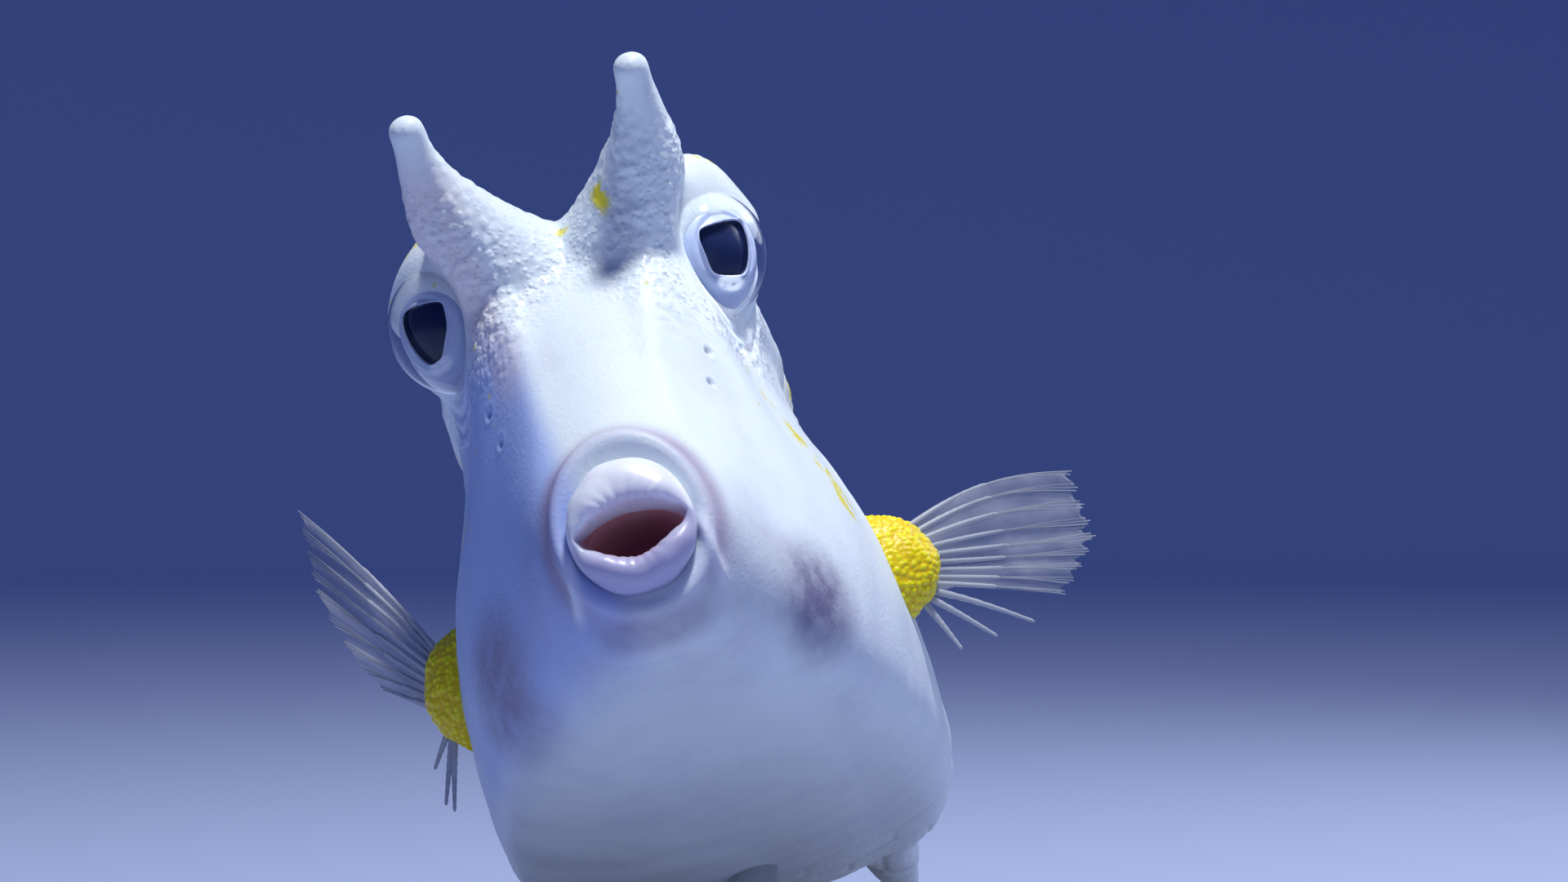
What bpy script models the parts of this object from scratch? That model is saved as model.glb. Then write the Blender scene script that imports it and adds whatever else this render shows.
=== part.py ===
"""A longhorn cowfish as a still, life-size model, banked nose-up on a plain display stand.

Metres, +Z up, the nose towards -Y and the fish's left side towards +X. The origin is the middle of
the stand's underside. The fish is shaped in its own level frame, with the origin in the middle of
its mouth and every measure a share of its standard length, and is then tilted onto the stand.
"""

import math

import bmesh
import bpy
import numpy as np
from mathutils import Matrix, Vector

# Driving dimensions
STANDARD_LENGTH = 0.120
NOSE_UP = math.radians(21.5)
BANK = math.radians(16.0)
TURN = math.radians(1.0)
GAP = 0.0003
MOUTH_ABOVE_FLOOR = 0.065

# Lips and the fold of the shell round them: distance behind the mouth, half-width, half-height
LIP_OUTER = (0.038, 0.039)
LIP_INNER = (0.032, 0.018)
LIP_FRONT = -0.026
LIP_SEAT = 0.004
MOUTH_RINGS = (
    (0.062, 0.006, 0.005),
    (0.050, 0.020, 0.012),
    (0.022, 0.027, 0.015),
    (LIP_SEAT, 0.027, 0.015),
    (LIP_SEAT, 0.041, 0.043),
    (-0.003, 0.0455, 0.048),
    (-0.006, 0.050, 0.053),
)
FOLD_OUTER = (0.004, 0.056, 0.060)

# The shell behind the fold: distance behind the mouth, height of the belly, height and half-width
# of the lower ridge, of the flank and of the upper ridge, and height of the back
SHELL = (
    (0.022, -0.067, -0.030, 0.058, 0.010, 0.062, 0.050, 0.049, 0.077),
    (0.050, -0.074, -0.032, 0.072, 0.040, 0.068, 0.108, 0.054, 0.128),
    (0.085, -0.081, -0.036, 0.090, 0.070, 0.077, 0.178, 0.061, 0.190),
    (0.120, -0.087, -0.040, 0.107, 0.095, 0.093, 0.243, 0.071, 0.243),
    (0.150, -0.091, -0.043, 0.121, 0.110, 0.105, 0.276, 0.080, 0.268),
    (0.190, -0.095, -0.047, 0.135, 0.118, 0.117, 0.292, 0.089, 0.286),
    (0.250, -0.099, -0.050, 0.149, 0.122, 0.130, 0.300, 0.094, 0.304),
    (0.340, -0.102, -0.053, 0.160, 0.124, 0.137, 0.305, 0.097, 0.326),
    (0.450, -0.101, -0.056, 0.162, 0.124, 0.135, 0.304, 0.095, 0.340),
    (0.560, -0.092, -0.053, 0.154, 0.123, 0.124, 0.292, 0.088, 0.325),
    (0.660, -0.074, -0.042, 0.136, 0.121, 0.109, 0.266, 0.076, 0.290),
    (0.740, -0.040, -0.012, 0.105, 0.120, 0.087, 0.230, 0.057, 0.246),
    (0.800, 0.018, 0.036, 0.069, 0.119, 0.063, 0.192, 0.040, 0.204),
    (0.850, 0.060, 0.072, 0.040, 0.118, 0.042, 0.160, 0.028, 0.171),
    (0.920, 0.076, 0.086, 0.025, 0.117, 0.028, 0.146, 0.019, 0.155),
    (1.000, 0.074, 0.086, 0.014, 0.117, 0.017, 0.148, 0.011, 0.160),
)
HEAD_END = 0.235
TRUNK_SPLIT = 0.500
SHELL_END = 0.835
STALK_END = 1.000

# Six-sided plates of the shell
PLATES_AROUND = 18
PLATE_PITCH = 0.066
PLATE_HEIGHT = 0.0004
PLATE_GROOVE = 0.0007
SLIVER = 0.004

# Eyes: centre, radius of the globe, and how far out the rim of its socket lies
EYE_CENTRE = (0.077, 0.176, 0.239)
EYE_RADIUS = 0.055
EYE_FORWARD = math.radians(35.0)
RIM_OUT = 0.026
RIM_WIDTH = 0.012

# Horns: middle of the root, tip, and the radius at shares of the way to the tip
BROW_HORN_ROOT = (0.070, 0.142, 0.248)
BROW_HORN_TIP = (0.0745, 0.036, 0.325)
BROW_HORN_RADII = (
    (0.00, 0.056),
    (0.16, 0.045),
    (0.31, 0.0345),
    (0.46, 0.0270),
    (0.60, 0.0190),
    (0.74, 0.0140),
    (0.86, 0.0115),
    (0.93, 0.0120),
)
BROW_HORN_SEAT = 0.45
HORN_LEAN_LOSS = 0.9
BELLY_HORN_ROOT = (0.114, 0.640, -0.044)
BELLY_HORN_TIP = (0.098, 0.850, -0.090)
BELLY_HORN_RADII = (
    (0.00, 0.030),
    (0.25, 0.022),
    (0.45, 0.0150),
    (0.65, 0.0110),
    (0.85, 0.0080),
    (0.94, 0.0065),
)
BELLY_HORN_SEAT = 0.36

# Fleshy root of each pectoral fin, an ellipsoid half sunk in the flank
PECTORAL_ROOT = (0.136, 0.305, 0.035)
PECTORAL_ROOT_RADII = (0.046, 0.027, 0.038)
PECTORAL_RAYS = 12
FREE_RAYS = 3
PECTORAL_SWEEP = math.radians(25.0)
# Each fin's stroke: ray number, its angle above straight out, and its length
LEFT_STROKE = (
    (0, 14.0, 0.163),
    (4, 2.0, 0.157),
    (8, -10.0, 0.116),
    (9, -24.0, 0.096),
    (10, -41.0, 0.070),
    (11, -73.0, 0.052),
)
RIGHT_STROKE = (
    (0, 60.0, 0.192),
    (4, 52.0, 0.150),
    (8, 38.0, 0.066),
    (9, -58.0, 0.050),
    (10, -68.0, 0.055),
    (11, -77.0, 0.052),
)
RAY_THICK = 0.0009
WEB_THICK = 0.0005
TIP_SHARE = 0.6

TAIL_RAYS = 10
TAIL_LENGTH = 0.370
MEDIAN_RAYS = 9

BASE_LENGTH = 0.120
BASE_WIDTH = 0.088
BASE_HEIGHT = 0.008
BASE_CORNER = 0.018
BASE_MIDDLE_BEHIND_MOUTH = 0.056
ROD_RADIUS = 0.0022
ROD_COLLAR_RADIUS = 0.0045
ROD_COLLAR_HEIGHT = 0.0025
ROD_PLACES = (0.470, 0.650)

AROUND = 12


def clear_scene():
    for thing in list(bpy.data.objects):
        bpy.data.objects.remove(thing, do_unlink=True)


def material(name, colour, roughness, metallic=0.0):
    made = bpy.data.materials.new(name)
    made.use_nodes = True
    shader = made.node_tree.nodes["Principled BSDF"]
    shader.inputs["Base Color"].default_value = (*colour, 1.0)
    shader.inputs["Roughness"].default_value = roughness
    shader.inputs["Metallic"].default_value = metallic
    return made


# The fish's own frame to the world: pitched nose-up, banked with its left side up, then lifted.
STAND_SHIFT = Vector((0.0, -BASE_MIDDLE_BEHIND_MOUTH, MOUTH_ABOVE_FLOOR))
POSE = (
    Matrix.Translation(STAND_SHIFT)
    @ Matrix.Rotation(TURN, 4, "Z")
    @ Matrix.Rotation(-BANK, 4, "Y")
    @ Matrix.Rotation(-NOSE_UP, 4, "X")
    @ Matrix.Scale(STANDARD_LENGTH, 4)
)


def new_object(name, points, faces, pose=POSE):
    """A mesh object from points in the fish's frame, its faces split into triangles and turned outwards."""
    shaped = bmesh.new()
    corners = [shaped.verts.new(pose @ Vector(point)) for point in points]
    for face in faces:
        shaped.faces.new([corners[index] for index in face])
    bmesh.ops.triangulate(shaped, faces=shaped.faces)
    bmesh.ops.recalc_face_normals(shaped, faces=shaped.faces)
    if shaped.calc_volume(signed=True) < 0:
        bmesh.ops.reverse_faces(shaped, faces=shaped.faces)
    mesh = bpy.data.meshes.new(name)
    shaped.to_mesh(mesh)
    shaped.free()
    made = bpy.data.objects.new(name, mesh)
    bpy.context.collection.objects.link(made)
    return made


def largest_surface(mesh):
    """Removes all but the largest closed surface of a mesh."""
    shaped = bmesh.new()
    shaped.from_mesh(mesh)
    unseen = set(shaped.verts)
    groups = []
    while unseen:
        group = [unseen.pop()]
        for vertex in group:
            for edge in vertex.link_edges:
                other = edge.other_vert(vertex)
                if other in unseen:
                    unseen.discard(other)
                    group.append(other)
        groups.append(group)
    groups.sort(key=len, reverse=True)
    loose = [vertex for group in groups[1:] for vertex in group]
    bmesh.ops.delete(shaped, geom=loose, context="VERTS")
    bmesh.ops.triangulate(shaped, faces=shaped.faces)
    shaped.to_mesh(mesh)
    shaped.free()


def boolean(target, others, operation):
    """Joins others to a node or cuts them from it, applies that and removes them."""
    if not others:
        return
    group = bpy.data.collections.new("helpers")
    for other in others:
        group.objects.link(other)
    modifier = target.modifiers.new(operation, "BOOLEAN")
    modifier.operation = operation
    modifier.operand_type = "COLLECTION"
    modifier.collection = group
    modifier.solver = "EXACT"
    graph = bpy.context.evaluated_depsgraph_get()
    shaped = bpy.data.meshes.new_from_object(target.evaluated_get(graph))
    target.modifiers.clear()
    target.data = shaped
    for other in others:
        bpy.data.objects.remove(other, do_unlink=True)
    bpy.data.collections.remove(group)
    largest_surface(target.data)


def catmull(before, start, end, after, share):
    """Point at a share of the way between the middle two of four points."""
    return 0.5 * (
        2 * start
        + (end - before) * share
        + (2 * before - 5 * start + 4 * end - after) * share**2
        + (3 * start - before - 3 * end + after) * share**3
    )


def oval_ring(distance, half_width, half_height):
    """Twelve points of an oval ring, from its lowest point by the fish's left side to its top and round."""
    turns = [2 * math.pi * step / AROUND for step in range(AROUND)]
    return np.array(
        [(half_width * math.sin(turn), distance, -half_height * math.cos(turn)) for turn in turns]
    )


def shell_ring(distance, belly, low, low_width, flank, flank_width, high, high_width, back):
    """Twelve points of a shell section: belly, lower ridge, flank, upper ridge and back, on both sides."""
    side = (
        (0.0, belly),
        (0.55 * low_width, belly + 0.12 * (low - belly)),
        (low_width, low),
        (flank_width, flank),
        (high_width, high),
        (0.55 * high_width, high + 0.7 * (back - high)),
        (0.0, back),
    )
    left = [(x, distance, z) for x, z in side]
    right = [(-x, distance, z) for x, z in reversed(side[1:-1])]
    return np.array(left + right)


STATIONS = [oval_ring(*FOLD_OUTER)] + [shell_ring(*row) for row in SHELL]


def shell_point(distance, around):
    """Point of the shell at a distance behind the mouth; around runs 0 to 12 from the belly round."""
    last = len(STATIONS) - 1
    ring = 0
    while ring < last - 1 and STATIONS[ring + 1][0][1] < distance:
        ring += 1
    rings = [STATIONS[min(max(ring + step, 0), last)] for step in (-1, 0, 1, 2)]
    low, high = 0.0, 1.0
    for _ in range(30):
        share = (low + high) / 2
        if catmull(*[part[0][1] for part in rings], share) < distance:
            low = share
        else:
            high = share
    share = min(max((low + high) / 2, 0.0), 1.0)
    column = int(math.floor(around)) % AROUND
    part_way = around - math.floor(around)
    across = [catmull(*[part[(column + step) % AROUND] for part in rings], share) for step in (-1, 0, 1, 2)]
    point = catmull(*across, part_way)
    point[1] = distance
    return point


def plate_columns():
    """Lengths round half of the widest section, which space the plates evenly over it."""
    steps = np.linspace(0, AROUND / 2, 121)
    points = [shell_point(0.40, step) for step in steps]
    lengths = np.cumsum([0.0] + [np.linalg.norm(b - a) for a, b in zip(points, points[1:])])
    return steps, lengths / lengths[-1]


COLUMN_STEPS, COLUMN_LENGTHS = plate_columns()


def around_at(share):
    """Place round the section at a share of the way round from the belly, evenly spaced by length."""
    share = share % 1.0
    half = min(share, 1.0 - share) * 2
    place = float(np.interp(half, COLUMN_LENGTHS, COLUMN_STEPS))
    return place if share <= 0.5 else AROUND - place


def shell_normal(distance, around):
    along = shell_point(distance + 0.002, around) - shell_point(distance - 0.002, around)
    across = shell_point(distance, around + 0.02) - shell_point(distance, around - 0.02)
    normal = np.cross(along, across)
    return normal / np.linalg.norm(normal)


def cap(points, faces, loop):
    """Closes a loop of points with a fan round its middle."""
    middle = sum(np.array(points[index]) for index in loop) / len(loop)
    points.append(middle)
    for here, there in zip(loop, loop[1:] + loop[:1]):
        faces.append((here, there, len(points) - 1))


def loft(rings, close_start=True, close_end=True):
    """Points and faces of a skin over rings of equal count."""
    count = len(rings[0])
    points = [point for ring in rings for point in ring]
    faces = []
    for row in range(len(rings) - 1):
        for column in range(count):
            beside = (column + 1) % count
            faces.append(
                (
                    row * count + column,
                    row * count + beside,
                    (row + 1) * count + beside,
                    (row + 1) * count + column,
                )
            )
    if close_start:
        cap(points, faces, list(range(count)))
    if close_end:
        cap(points, faces, list(range((len(rings) - 1) * count, len(rings) * count)))
    return points, faces


def shell_loft(start, end, rows, columns, grow=0.0):
    """A smooth stretch of the shell, grown outwards by a share of standard length."""
    rings = []
    for row in range(rows + 1):
        distance = start + (end - start) * row / rows
        ring = []
        for column in range(columns):
            around = around_at(column / columns)
            point = shell_point(distance, around)
            if grow:
                point = point + shell_normal(distance, around) * grow
            ring.append(point)
        rings.append(ring)
    return loft(rings)


def clip_before(outline, limit, keep_above):
    """The part of an outline whose first coordinate is above, or below, a limit."""
    kept = []
    for here, there in zip(outline, outline[1:] + outline[:1]):
        here_in = here[0] >= limit if keep_above else here[0] <= limit
        there_in = there[0] >= limit if keep_above else there[0] <= limit
        if here_in:
            kept.append(here)
        if here_in != there_in:
            share = (limit - here[0]) / (there[0] - here[0])
            kept.append((limit, here[1] + share * (there[1] - here[1])))
    return kept


def plated_shell(start, end):
    """A stretch of the shell covered in raised six-sided plates, with flat ends."""
    points, faces, index = [], [], {}
    across = 1.0 / PLATES_AROUND

    def corner(place):
        key = (round(place[0] * 1e6), round((place[1] % 1.0) * 1e6) % 1000000)
        if key not in index:
            index[key] = len(points)
            points.append(shell_point(place[0], around_at(place[1])))
        return index[key]

    row = -1
    while row * PLATE_PITCH < 1.0 + PLATE_PITCH:
        for column in range(PLATES_AROUND):
            middle = (row * PLATE_PITCH, (column + 0.5 * (row % 2)) * across)
            reach, half = PLATE_PITCH / 3, across / 2
            shape = (
                (-reach, -half),
                (reach, -half),
                (2 * reach, 0),
                (reach, half),
                (-reach, half),
                (-2 * reach, 0),
            )
            outline = [(middle[0] + dy, middle[1] + da) for dy, da in shape]
            outline = clip_before(outline, start, True)
            outline = clip_before(outline, end, False) if len(outline) > 2 else []
            if len(outline) < 3:
                continue
            if max(place[0] for place in outline) - min(place[0] for place in outline) < SLIVER:
                faces.append([corner(place) for place in outline])
            else:
                raise_plate(outline, corner, points, faces)
        row += 1
    close_ends(points, faces)
    return points, faces


def raise_plate(outline, corner, points, faces):
    """One plate: a sloping edge up to an inner outline, which rises a little more to its middle."""
    rim = [corner(place) for place in outline]
    centre_place = tuple(sum(place[axis] for place in outline) / len(outline) for axis in (0, 1))
    normal = shell_normal(centre_place[0], around_at(centre_place[1]))
    middle = shell_point(centre_place[0], around_at(centre_place[1]))
    lift = PLATE_HEIGHT / STANDARD_LENGTH
    groove = PLATE_GROOVE / STANDARD_LENGTH
    inner = []
    for index in rim:
        inward = middle - points[index]
        distance = np.linalg.norm(inward)
        share = min(0.4, groove * 1.5 / distance)
        points.append(points[index] + inward * share + normal * lift)
        inner.append(len(points) - 1)
    points.append(middle + normal * lift * 1.6)
    top = len(points) - 1
    count = len(rim)
    for step in range(count):
        beside = (step + 1) % count
        faces.append((rim[step], rim[beside], inner[beside], inner[step]))
        faces.append((inner[step], inner[beside], top))


def close_ends(points, faces):
    """Caps every open loop of a mesh with a fan."""
    uses = {}
    for face in faces:
        for here, there in zip(face, list(face[1:]) + [face[0]]):
            uses.setdefault((min(here, there), max(here, there)), []).append((here, there))
    follows = {there: here for (here, there) in (pair[0] for pair in uses.values() if len(pair) == 1)}
    while follows:
        first = next(iter(follows))
        loop = [first]
        while True:
            following = follows.pop(loop[-1])
            if following == first:
                break
            loop.append(following)
        cap(points, faces, loop)


def mirrored(point, side):
    return Vector((point[0] * side, point[1], point[2]))


def radius_at(radii, share):
    shares = [row[0] for row in radii]
    return float(np.interp(share, shares, [row[1] for row in radii]))


def horn_mesh(name, root, tip, radii, side, start, end, sides=12):
    """A round horn or its stub between two shares of its length, with a domed tip at the far end.

    Its flare grows mostly inwards, so that its outer edge runs down past the eye or ridge.
    """
    root, tip = mirrored(root, side), mirrored(tip, side)
    axis = tip - root
    turn = axis.normalized().to_track_quat("Z", "X")
    neck = radii[-3][1]
    marks = [start] + [row[0] for row in radii if start < row[0] < end]
    if end >= 1.0:
        knob = radii[-1]
        marks += [knob[0] + (1 - knob[0]) * share for share in (0.5, 0.85)]
    else:
        marks.append(end)
    rings = []
    for mark in marks:
        radius = radius_at(radii, mark)
        if mark > radii[-1][0]:
            past = (mark - radii[-1][0]) / (1 - radii[-1][0])
            radius *= math.sqrt(1 - past**2)
        inward = (1.0 - HORN_LEAN_LOSS * mark) * max(0.0, radius - neck)
        middle = root + axis * mark - Vector((side * inward, 0.0, 0.0))
        ring = []
        for step in range(sides):
            angle = 2 * math.pi * step / sides
            spoke = turn @ Vector((math.cos(angle), math.sin(angle), 0.0))
            ring.append(middle + spoke * radius)
        rings.append(ring)
    return new_object(name, *loft(rings))


def eye_axis(side):
    return Vector((side * math.cos(EYE_FORWARD), -math.sin(EYE_FORWARD), 0.06)).normalized()


def globe(name, centre, radii, axis=Vector((0, 0, 1)), rows=10, sides=16):
    """An ellipsoid with its poles along an axis."""
    turn = axis.to_track_quat("Z", "X")
    rings = []
    for row in range(1, rows):
        angle = math.pi * row / rows
        ring = []
        for step in range(sides):
            around = 2 * math.pi * step / sides
            unit = turn @ Vector(
                (math.sin(angle) * math.cos(around), math.sin(angle) * math.sin(around), -math.cos(angle))
            )
            ring.append(centre + Vector([unit[axis] * radii[axis] for axis in range(3)]))
        rings.append(ring)
    points, faces = loft(rings, False, False)
    for sign, first in ((-1, 0), (1, (rows - 2) * sides)):
        pole = turn @ Vector((0, 0, sign))
        points.append(centre + Vector([pole[axis] * radii[axis] for axis in range(3)]))
        for step in range(sides):
            faces.append((first + step, first + (step + 1) % sides, len(points) - 1))
    return new_object(name, points, faces)


def eye_socket_rim(side):
    """A raised collar round an eye, which the globe's socket then hollows."""
    centre = mirrored(EYE_CENTRE, side)
    axis = eye_axis(side)
    turn = axis.to_track_quat("Z", "X")
    rim_radius = math.sqrt(EYE_RADIUS**2 - RIM_OUT**2)
    outer = rim_radius + RIM_WIDTH
    profile = ((-0.008, outer + 0.003), (RIM_OUT - 0.014, outer + 0.001), (RIM_OUT - 0.002, outer - 0.003))
    rings = []
    for height, radius in profile + ((RIM_OUT, rim_radius + 0.002),):
        spokes = [turn @ Vector((math.cos(a), math.sin(a), 0)) for a in np.linspace(0, 2 * math.pi, 19)[:-1]]
        rings.append([centre + axis * height + spoke * radius for spoke in spokes])
    return new_object("rim", *loft(rings))


def nostril_cutters(side):
    """Two small round pits on the side of the snout."""
    cutters = []
    for distance, around in ((0.096, 3.45), (0.080, 3.40)):
        place = shell_point(distance, around if side > 0 else AROUND - around)
        cutters.append(globe("nostril", Vector(place), (0.0058, 0.0058, 0.0058), rows=6, sides=8))
    return cutters


def make_head():
    columns = 36
    rings = []
    for row in MOUTH_RINGS:
        control = oval_ring(*row)
        rings.append(ring_through(control, columns))
    fold = oval_ring(*FOLD_OUTER)
    rings.append(ring_through(fold, columns))
    end = HEAD_END - GAP / STANDARD_LENGTH / 2
    count = 13
    for step in range(1, count + 1):
        distance = FOLD_OUTER[0] + (end - FOLD_OUTER[0]) * step / count
        rings.append([shell_point(distance, AROUND * column / columns) for column in range(columns)])
    head = new_object("head", *loft(rings))
    pieces = []
    for side in (1, -1):
        pieces.append(
            horn_mesh("stub", BROW_HORN_ROOT, BROW_HORN_TIP, BROW_HORN_RADII, side, 0.0, BROW_HORN_SEAT, 16)
        )
        pieces.append(eye_socket_rim(side))
    boolean(head, pieces, "UNION")
    cutters = []
    for side in (1, -1):
        room = EYE_RADIUS + GAP / STANDARD_LENGTH
        cutters.append(globe("socket", mirrored(EYE_CENTRE, side), (room,) * 3, eye_axis(side)))
        cutters += nostril_cutters(side)
    boolean(head, cutters, "DIFFERENCE")
    return head


def ring_through(control, columns):
    """A closed smooth ring through twelve control points."""
    ring = []
    for column in range(columns):
        place = AROUND * column / columns
        first = int(place)
        around = [control[(first + step) % AROUND] for step in (-1, 0, 1, 2)]
        ring.append(catmull(*around, place - first))
    return ring


def make_lips():
    """A fleshy ring, its upper lip arched and its corners pinched, with the mouth open inside it."""
    columns = 32
    back = LIP_SEAT - GAP / STANDARD_LENGTH
    inner_w, inner_h = LIP_INNER
    outer_w, outer_h = LIP_OUTER
    profile = (
        (back, inner_w * 0.92, inner_h * 1.05),
        (LIP_FRONT * 0.45, inner_w * 0.96, inner_h * 0.98),
        (LIP_FRONT * 0.85, inner_w * 1.02, inner_h * 1.10),
        (LIP_FRONT, inner_w * 1.08, inner_h * 1.55),
        (LIP_FRONT * 0.88, outer_w * 0.95, outer_h * 0.78),
        (LIP_FRONT * 0.50, outer_w, outer_h * 0.98),
        (LIP_FRONT * 0.10, outer_w, outer_h),
        (back, outer_w * 0.97, outer_h * 0.97),
    )
    rings = [ring_through(oval_ring(*row), columns) for row in profile]
    count = columns
    points = [point for ring in rings for point in ring]
    faces = []
    for row in range(len(rings)):
        below = (row + 1) % len(rings)
        for column in range(count):
            beside = (column + 1) % count
            faces.append(
                (row * count + column, row * count + beside, below * count + beside, below * count + column)
            )
    return new_object("lips", points, faces)


def pectoral_root(side, grow=0.0, name="root"):
    radii = [radius + grow for radius in PECTORAL_ROOT_RADII]
    return globe(name, mirrored(PECTORAL_ROOT, side), radii, rows=12, sides=20)


def make_trunk_front():
    half_gap = GAP / STANDARD_LENGTH / 2
    trunk = new_object("trunk_front", *plated_shell(HEAD_END + half_gap, TRUNK_SPLIT - half_gap))
    cutters = [pectoral_root(side, GAP / STANDARD_LENGTH) for side in (1, -1)]
    for side in (1, -1):
        around = 3.0 if side > 0 else AROUND - 3.0
        place = Vector(shell_point(0.262, around)) + Vector((0, 0, -0.045))
        cutters.append(globe("gill", place, (0.012, 0.0045, 0.036), rows=8, sides=10))
    boolean(trunk, cutters, "DIFFERENCE")
    return trunk


def make_trunk_rear():
    half_gap = GAP / STANDARD_LENGTH / 2
    trunk = new_object("trunk_rear", *plated_shell(TRUNK_SPLIT + half_gap, SHELL_END - half_gap))
    stubs = [
        horn_mesh("stub", BELLY_HORN_ROOT, BELLY_HORN_TIP, BELLY_HORN_RADII, side, 0.0, BELLY_HORN_SEAT)
        for side in (1, -1)
    ]
    boolean(trunk, stubs, "UNION")
    return trunk


def make_tail_stalk():
    half_gap = GAP / STANDARD_LENGTH / 2
    return new_object("tail_stalk", *shell_loft(SHELL_END + half_gap, STALK_END, 7, 20))


def fan_layout(rays, free, steps, side_share, web_end):
    """Places on a fin as (ray number, share of length), and its faces: a web, then each ray's free end.

    Each ray has a middle and two edges, and the web between two rays has a middle line.
    """
    places, faces, index = [], [], {}

    def place(column, row, spread, share):
        key = (column, row)
        if key not in index:
            index[key] = len(places)
            places.append((spread, share))
        return index[key]

    columns = []
    for ray in range(rays):
        for offset in (-side_share, 0.0, side_share):
            if not (ray == 0 and offset < 0) and not (ray == rays - 1 and offset > 0):
                columns.append((ray + offset, True, ray))
        if ray < rays - 1:
            columns.append((ray + 0.5, False, ray))
    grid = []
    for column, (spread, on_ray, ray) in enumerate(columns):
        line = []
        for row in range(steps + 1):
            end = web_end(spread)
            line.append(place(column, row, spread, end * row / steps))
        grid.append(line)
    for column in range(len(columns) - 1):
        for row in range(steps):
            faces.append(
                (grid[column][row], grid[column + 1][row], grid[column + 1][row + 1], grid[column][row + 1])
            )
    for ray in range(rays):
        own = [c for c, item in enumerate(columns) if item[1] and item[2] == ray]
        end = web_end(float(ray))
        parts = 3 if ray >= rays - free else 1
        previous = [grid[column][-1] for column in own]
        for part in range(1, parts + 1):
            share = end + (1 - end) * part / parts
            narrow = 1.0 - 0.75 * part / parts
            current = []
            for column in own:
                spread = ray + (columns[column][0] - ray) * narrow
                current.append(place(column, steps + part, spread, share))
            for first in range(len(own) - 1):
                faces.append((previous[first], previous[first + 1], current[first + 1], current[first]))
            previous = current
    ray_middles = {index[(c, row)] for c, item in enumerate(columns) if item[1] and item[0] == item[2]
                   for row in range(steps + 4) if (c, row) in index}
    return places, faces, ray_middles


def thick_fan(name, rays, free, steps, web_end, at_place, facing, side_share=0.2):
    """A closed fan of two like faces, thick on its rays and thin between, from a function of place."""
    places, faces, middles = fan_layout(rays, free, steps, side_share, web_end)
    surface = [at_place(spread, share) for spread, share in places]
    count = len(places)
    points = []
    for sign in (1, -1):
        for index, (spread, share) in enumerate(places):
            thick = RAY_THICK if index in middles else WEB_THICK
            fade = 1.0 - (1.0 - TIP_SHARE) * share
            points.append(surface[index] + facing * (sign * thick * fade / 2 / STANDARD_LENGTH))
    both, uses = [], {}
    for face in faces:
        for here, there in zip(face, face[1:] + face[:1]):
            uses.setdefault((min(here, there), max(here, there)), []).append((here, there))
        split = ((face[0], face[1], face[2]), (face[0], face[2], face[3]))
        for triangle in split:
            both.append(triangle)
            both.append(tuple(corner + count for corner in reversed(triangle)))
    for pairs in uses.values():
        if len(pairs) == 1:
            here, there = pairs[0]
            both.append((there, here, here + count))
            both.append((there, here + count, there + count))
    return new_object(name, points, both)


def make_pectoral_fin(side, name, stroke):
    """A fan of rays swung out from the fleshy root; the lowest rays stand free of the web."""
    root = mirrored(PECTORAL_ROOT, side)
    marks, angles, lengths = zip(*stroke)
    last = PECTORAL_RAYS - 1
    web_rays = last - FREE_RAYS

    def web_end(spread):
        scallop = 0.035 * (1 - math.cos(2 * math.pi * spread)) / 2
        if spread <= web_rays:
            return 0.96 - scallop
        return 0.42 - 0.1 * (spread - web_rays) / FREE_RAYS - scallop

    def at_place(spread, share):
        part = min(max(spread, 0.0), last) / last
        angle = math.radians(np.interp(spread, marks, angles))
        length = float(np.interp(spread, marks, lengths))
        start = root + Vector((side * (0.020 + 0.008 * part), 0.004, 0.022 - 0.046 * part))
        out = math.cos(angle)
        lie = Vector((side * out * math.cos(PECTORAL_SWEEP), out * math.sin(PECTORAL_SWEEP), math.sin(angle)))
        bow = Vector((0.0, 0.10 * share**2, 0.0))
        return start + (lie * share + bow) * length

    facing = Vector((-side * math.sin(PECTORAL_SWEEP), math.cos(PECTORAL_SWEEP), 0.0))
    fin = thick_fan(name, PECTORAL_RAYS, FREE_RAYS, 4, web_end, at_place, facing)
    boolean(fin, [pectoral_root(side, GAP / STANDARD_LENGTH)], "DIFFERENCE")
    return fin


def make_median_fin(name, rays, line, angles, length, bend, clear_of, steps=3):
    """A fan in the fish's middle plane, its rays rising at angles from straight back."""
    start, end = Vector(line[0]), Vector(line[1])
    first_angle, last_angle = angles
    last = rays - 1

    def web_end(spread):
        return 0.96 - 0.03 * (1 - math.cos(2 * math.pi * spread)) / 2

    def at_place(spread, share):
        part = spread / last
        angle = math.radians(first_angle + (last_angle - first_angle) * part)
        rounded = length * (1.0 - 0.30 * abs(2 * part - 1) ** 2.4)
        root = start.lerp(end, part)
        lie = Vector((0.0, math.cos(angle), math.sin(angle)))
        sway = Vector((bend * (share**2), 0.0, 0.0))
        return root + (lie * share + sway) * rounded

    fin = thick_fan(name, rays, 0, steps, web_end, at_place, Vector((1.0, 0.0, 0.0)))
    if clear_of:
        boolean(fin, clear_of, "DIFFERENCE")
    return fin


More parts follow.
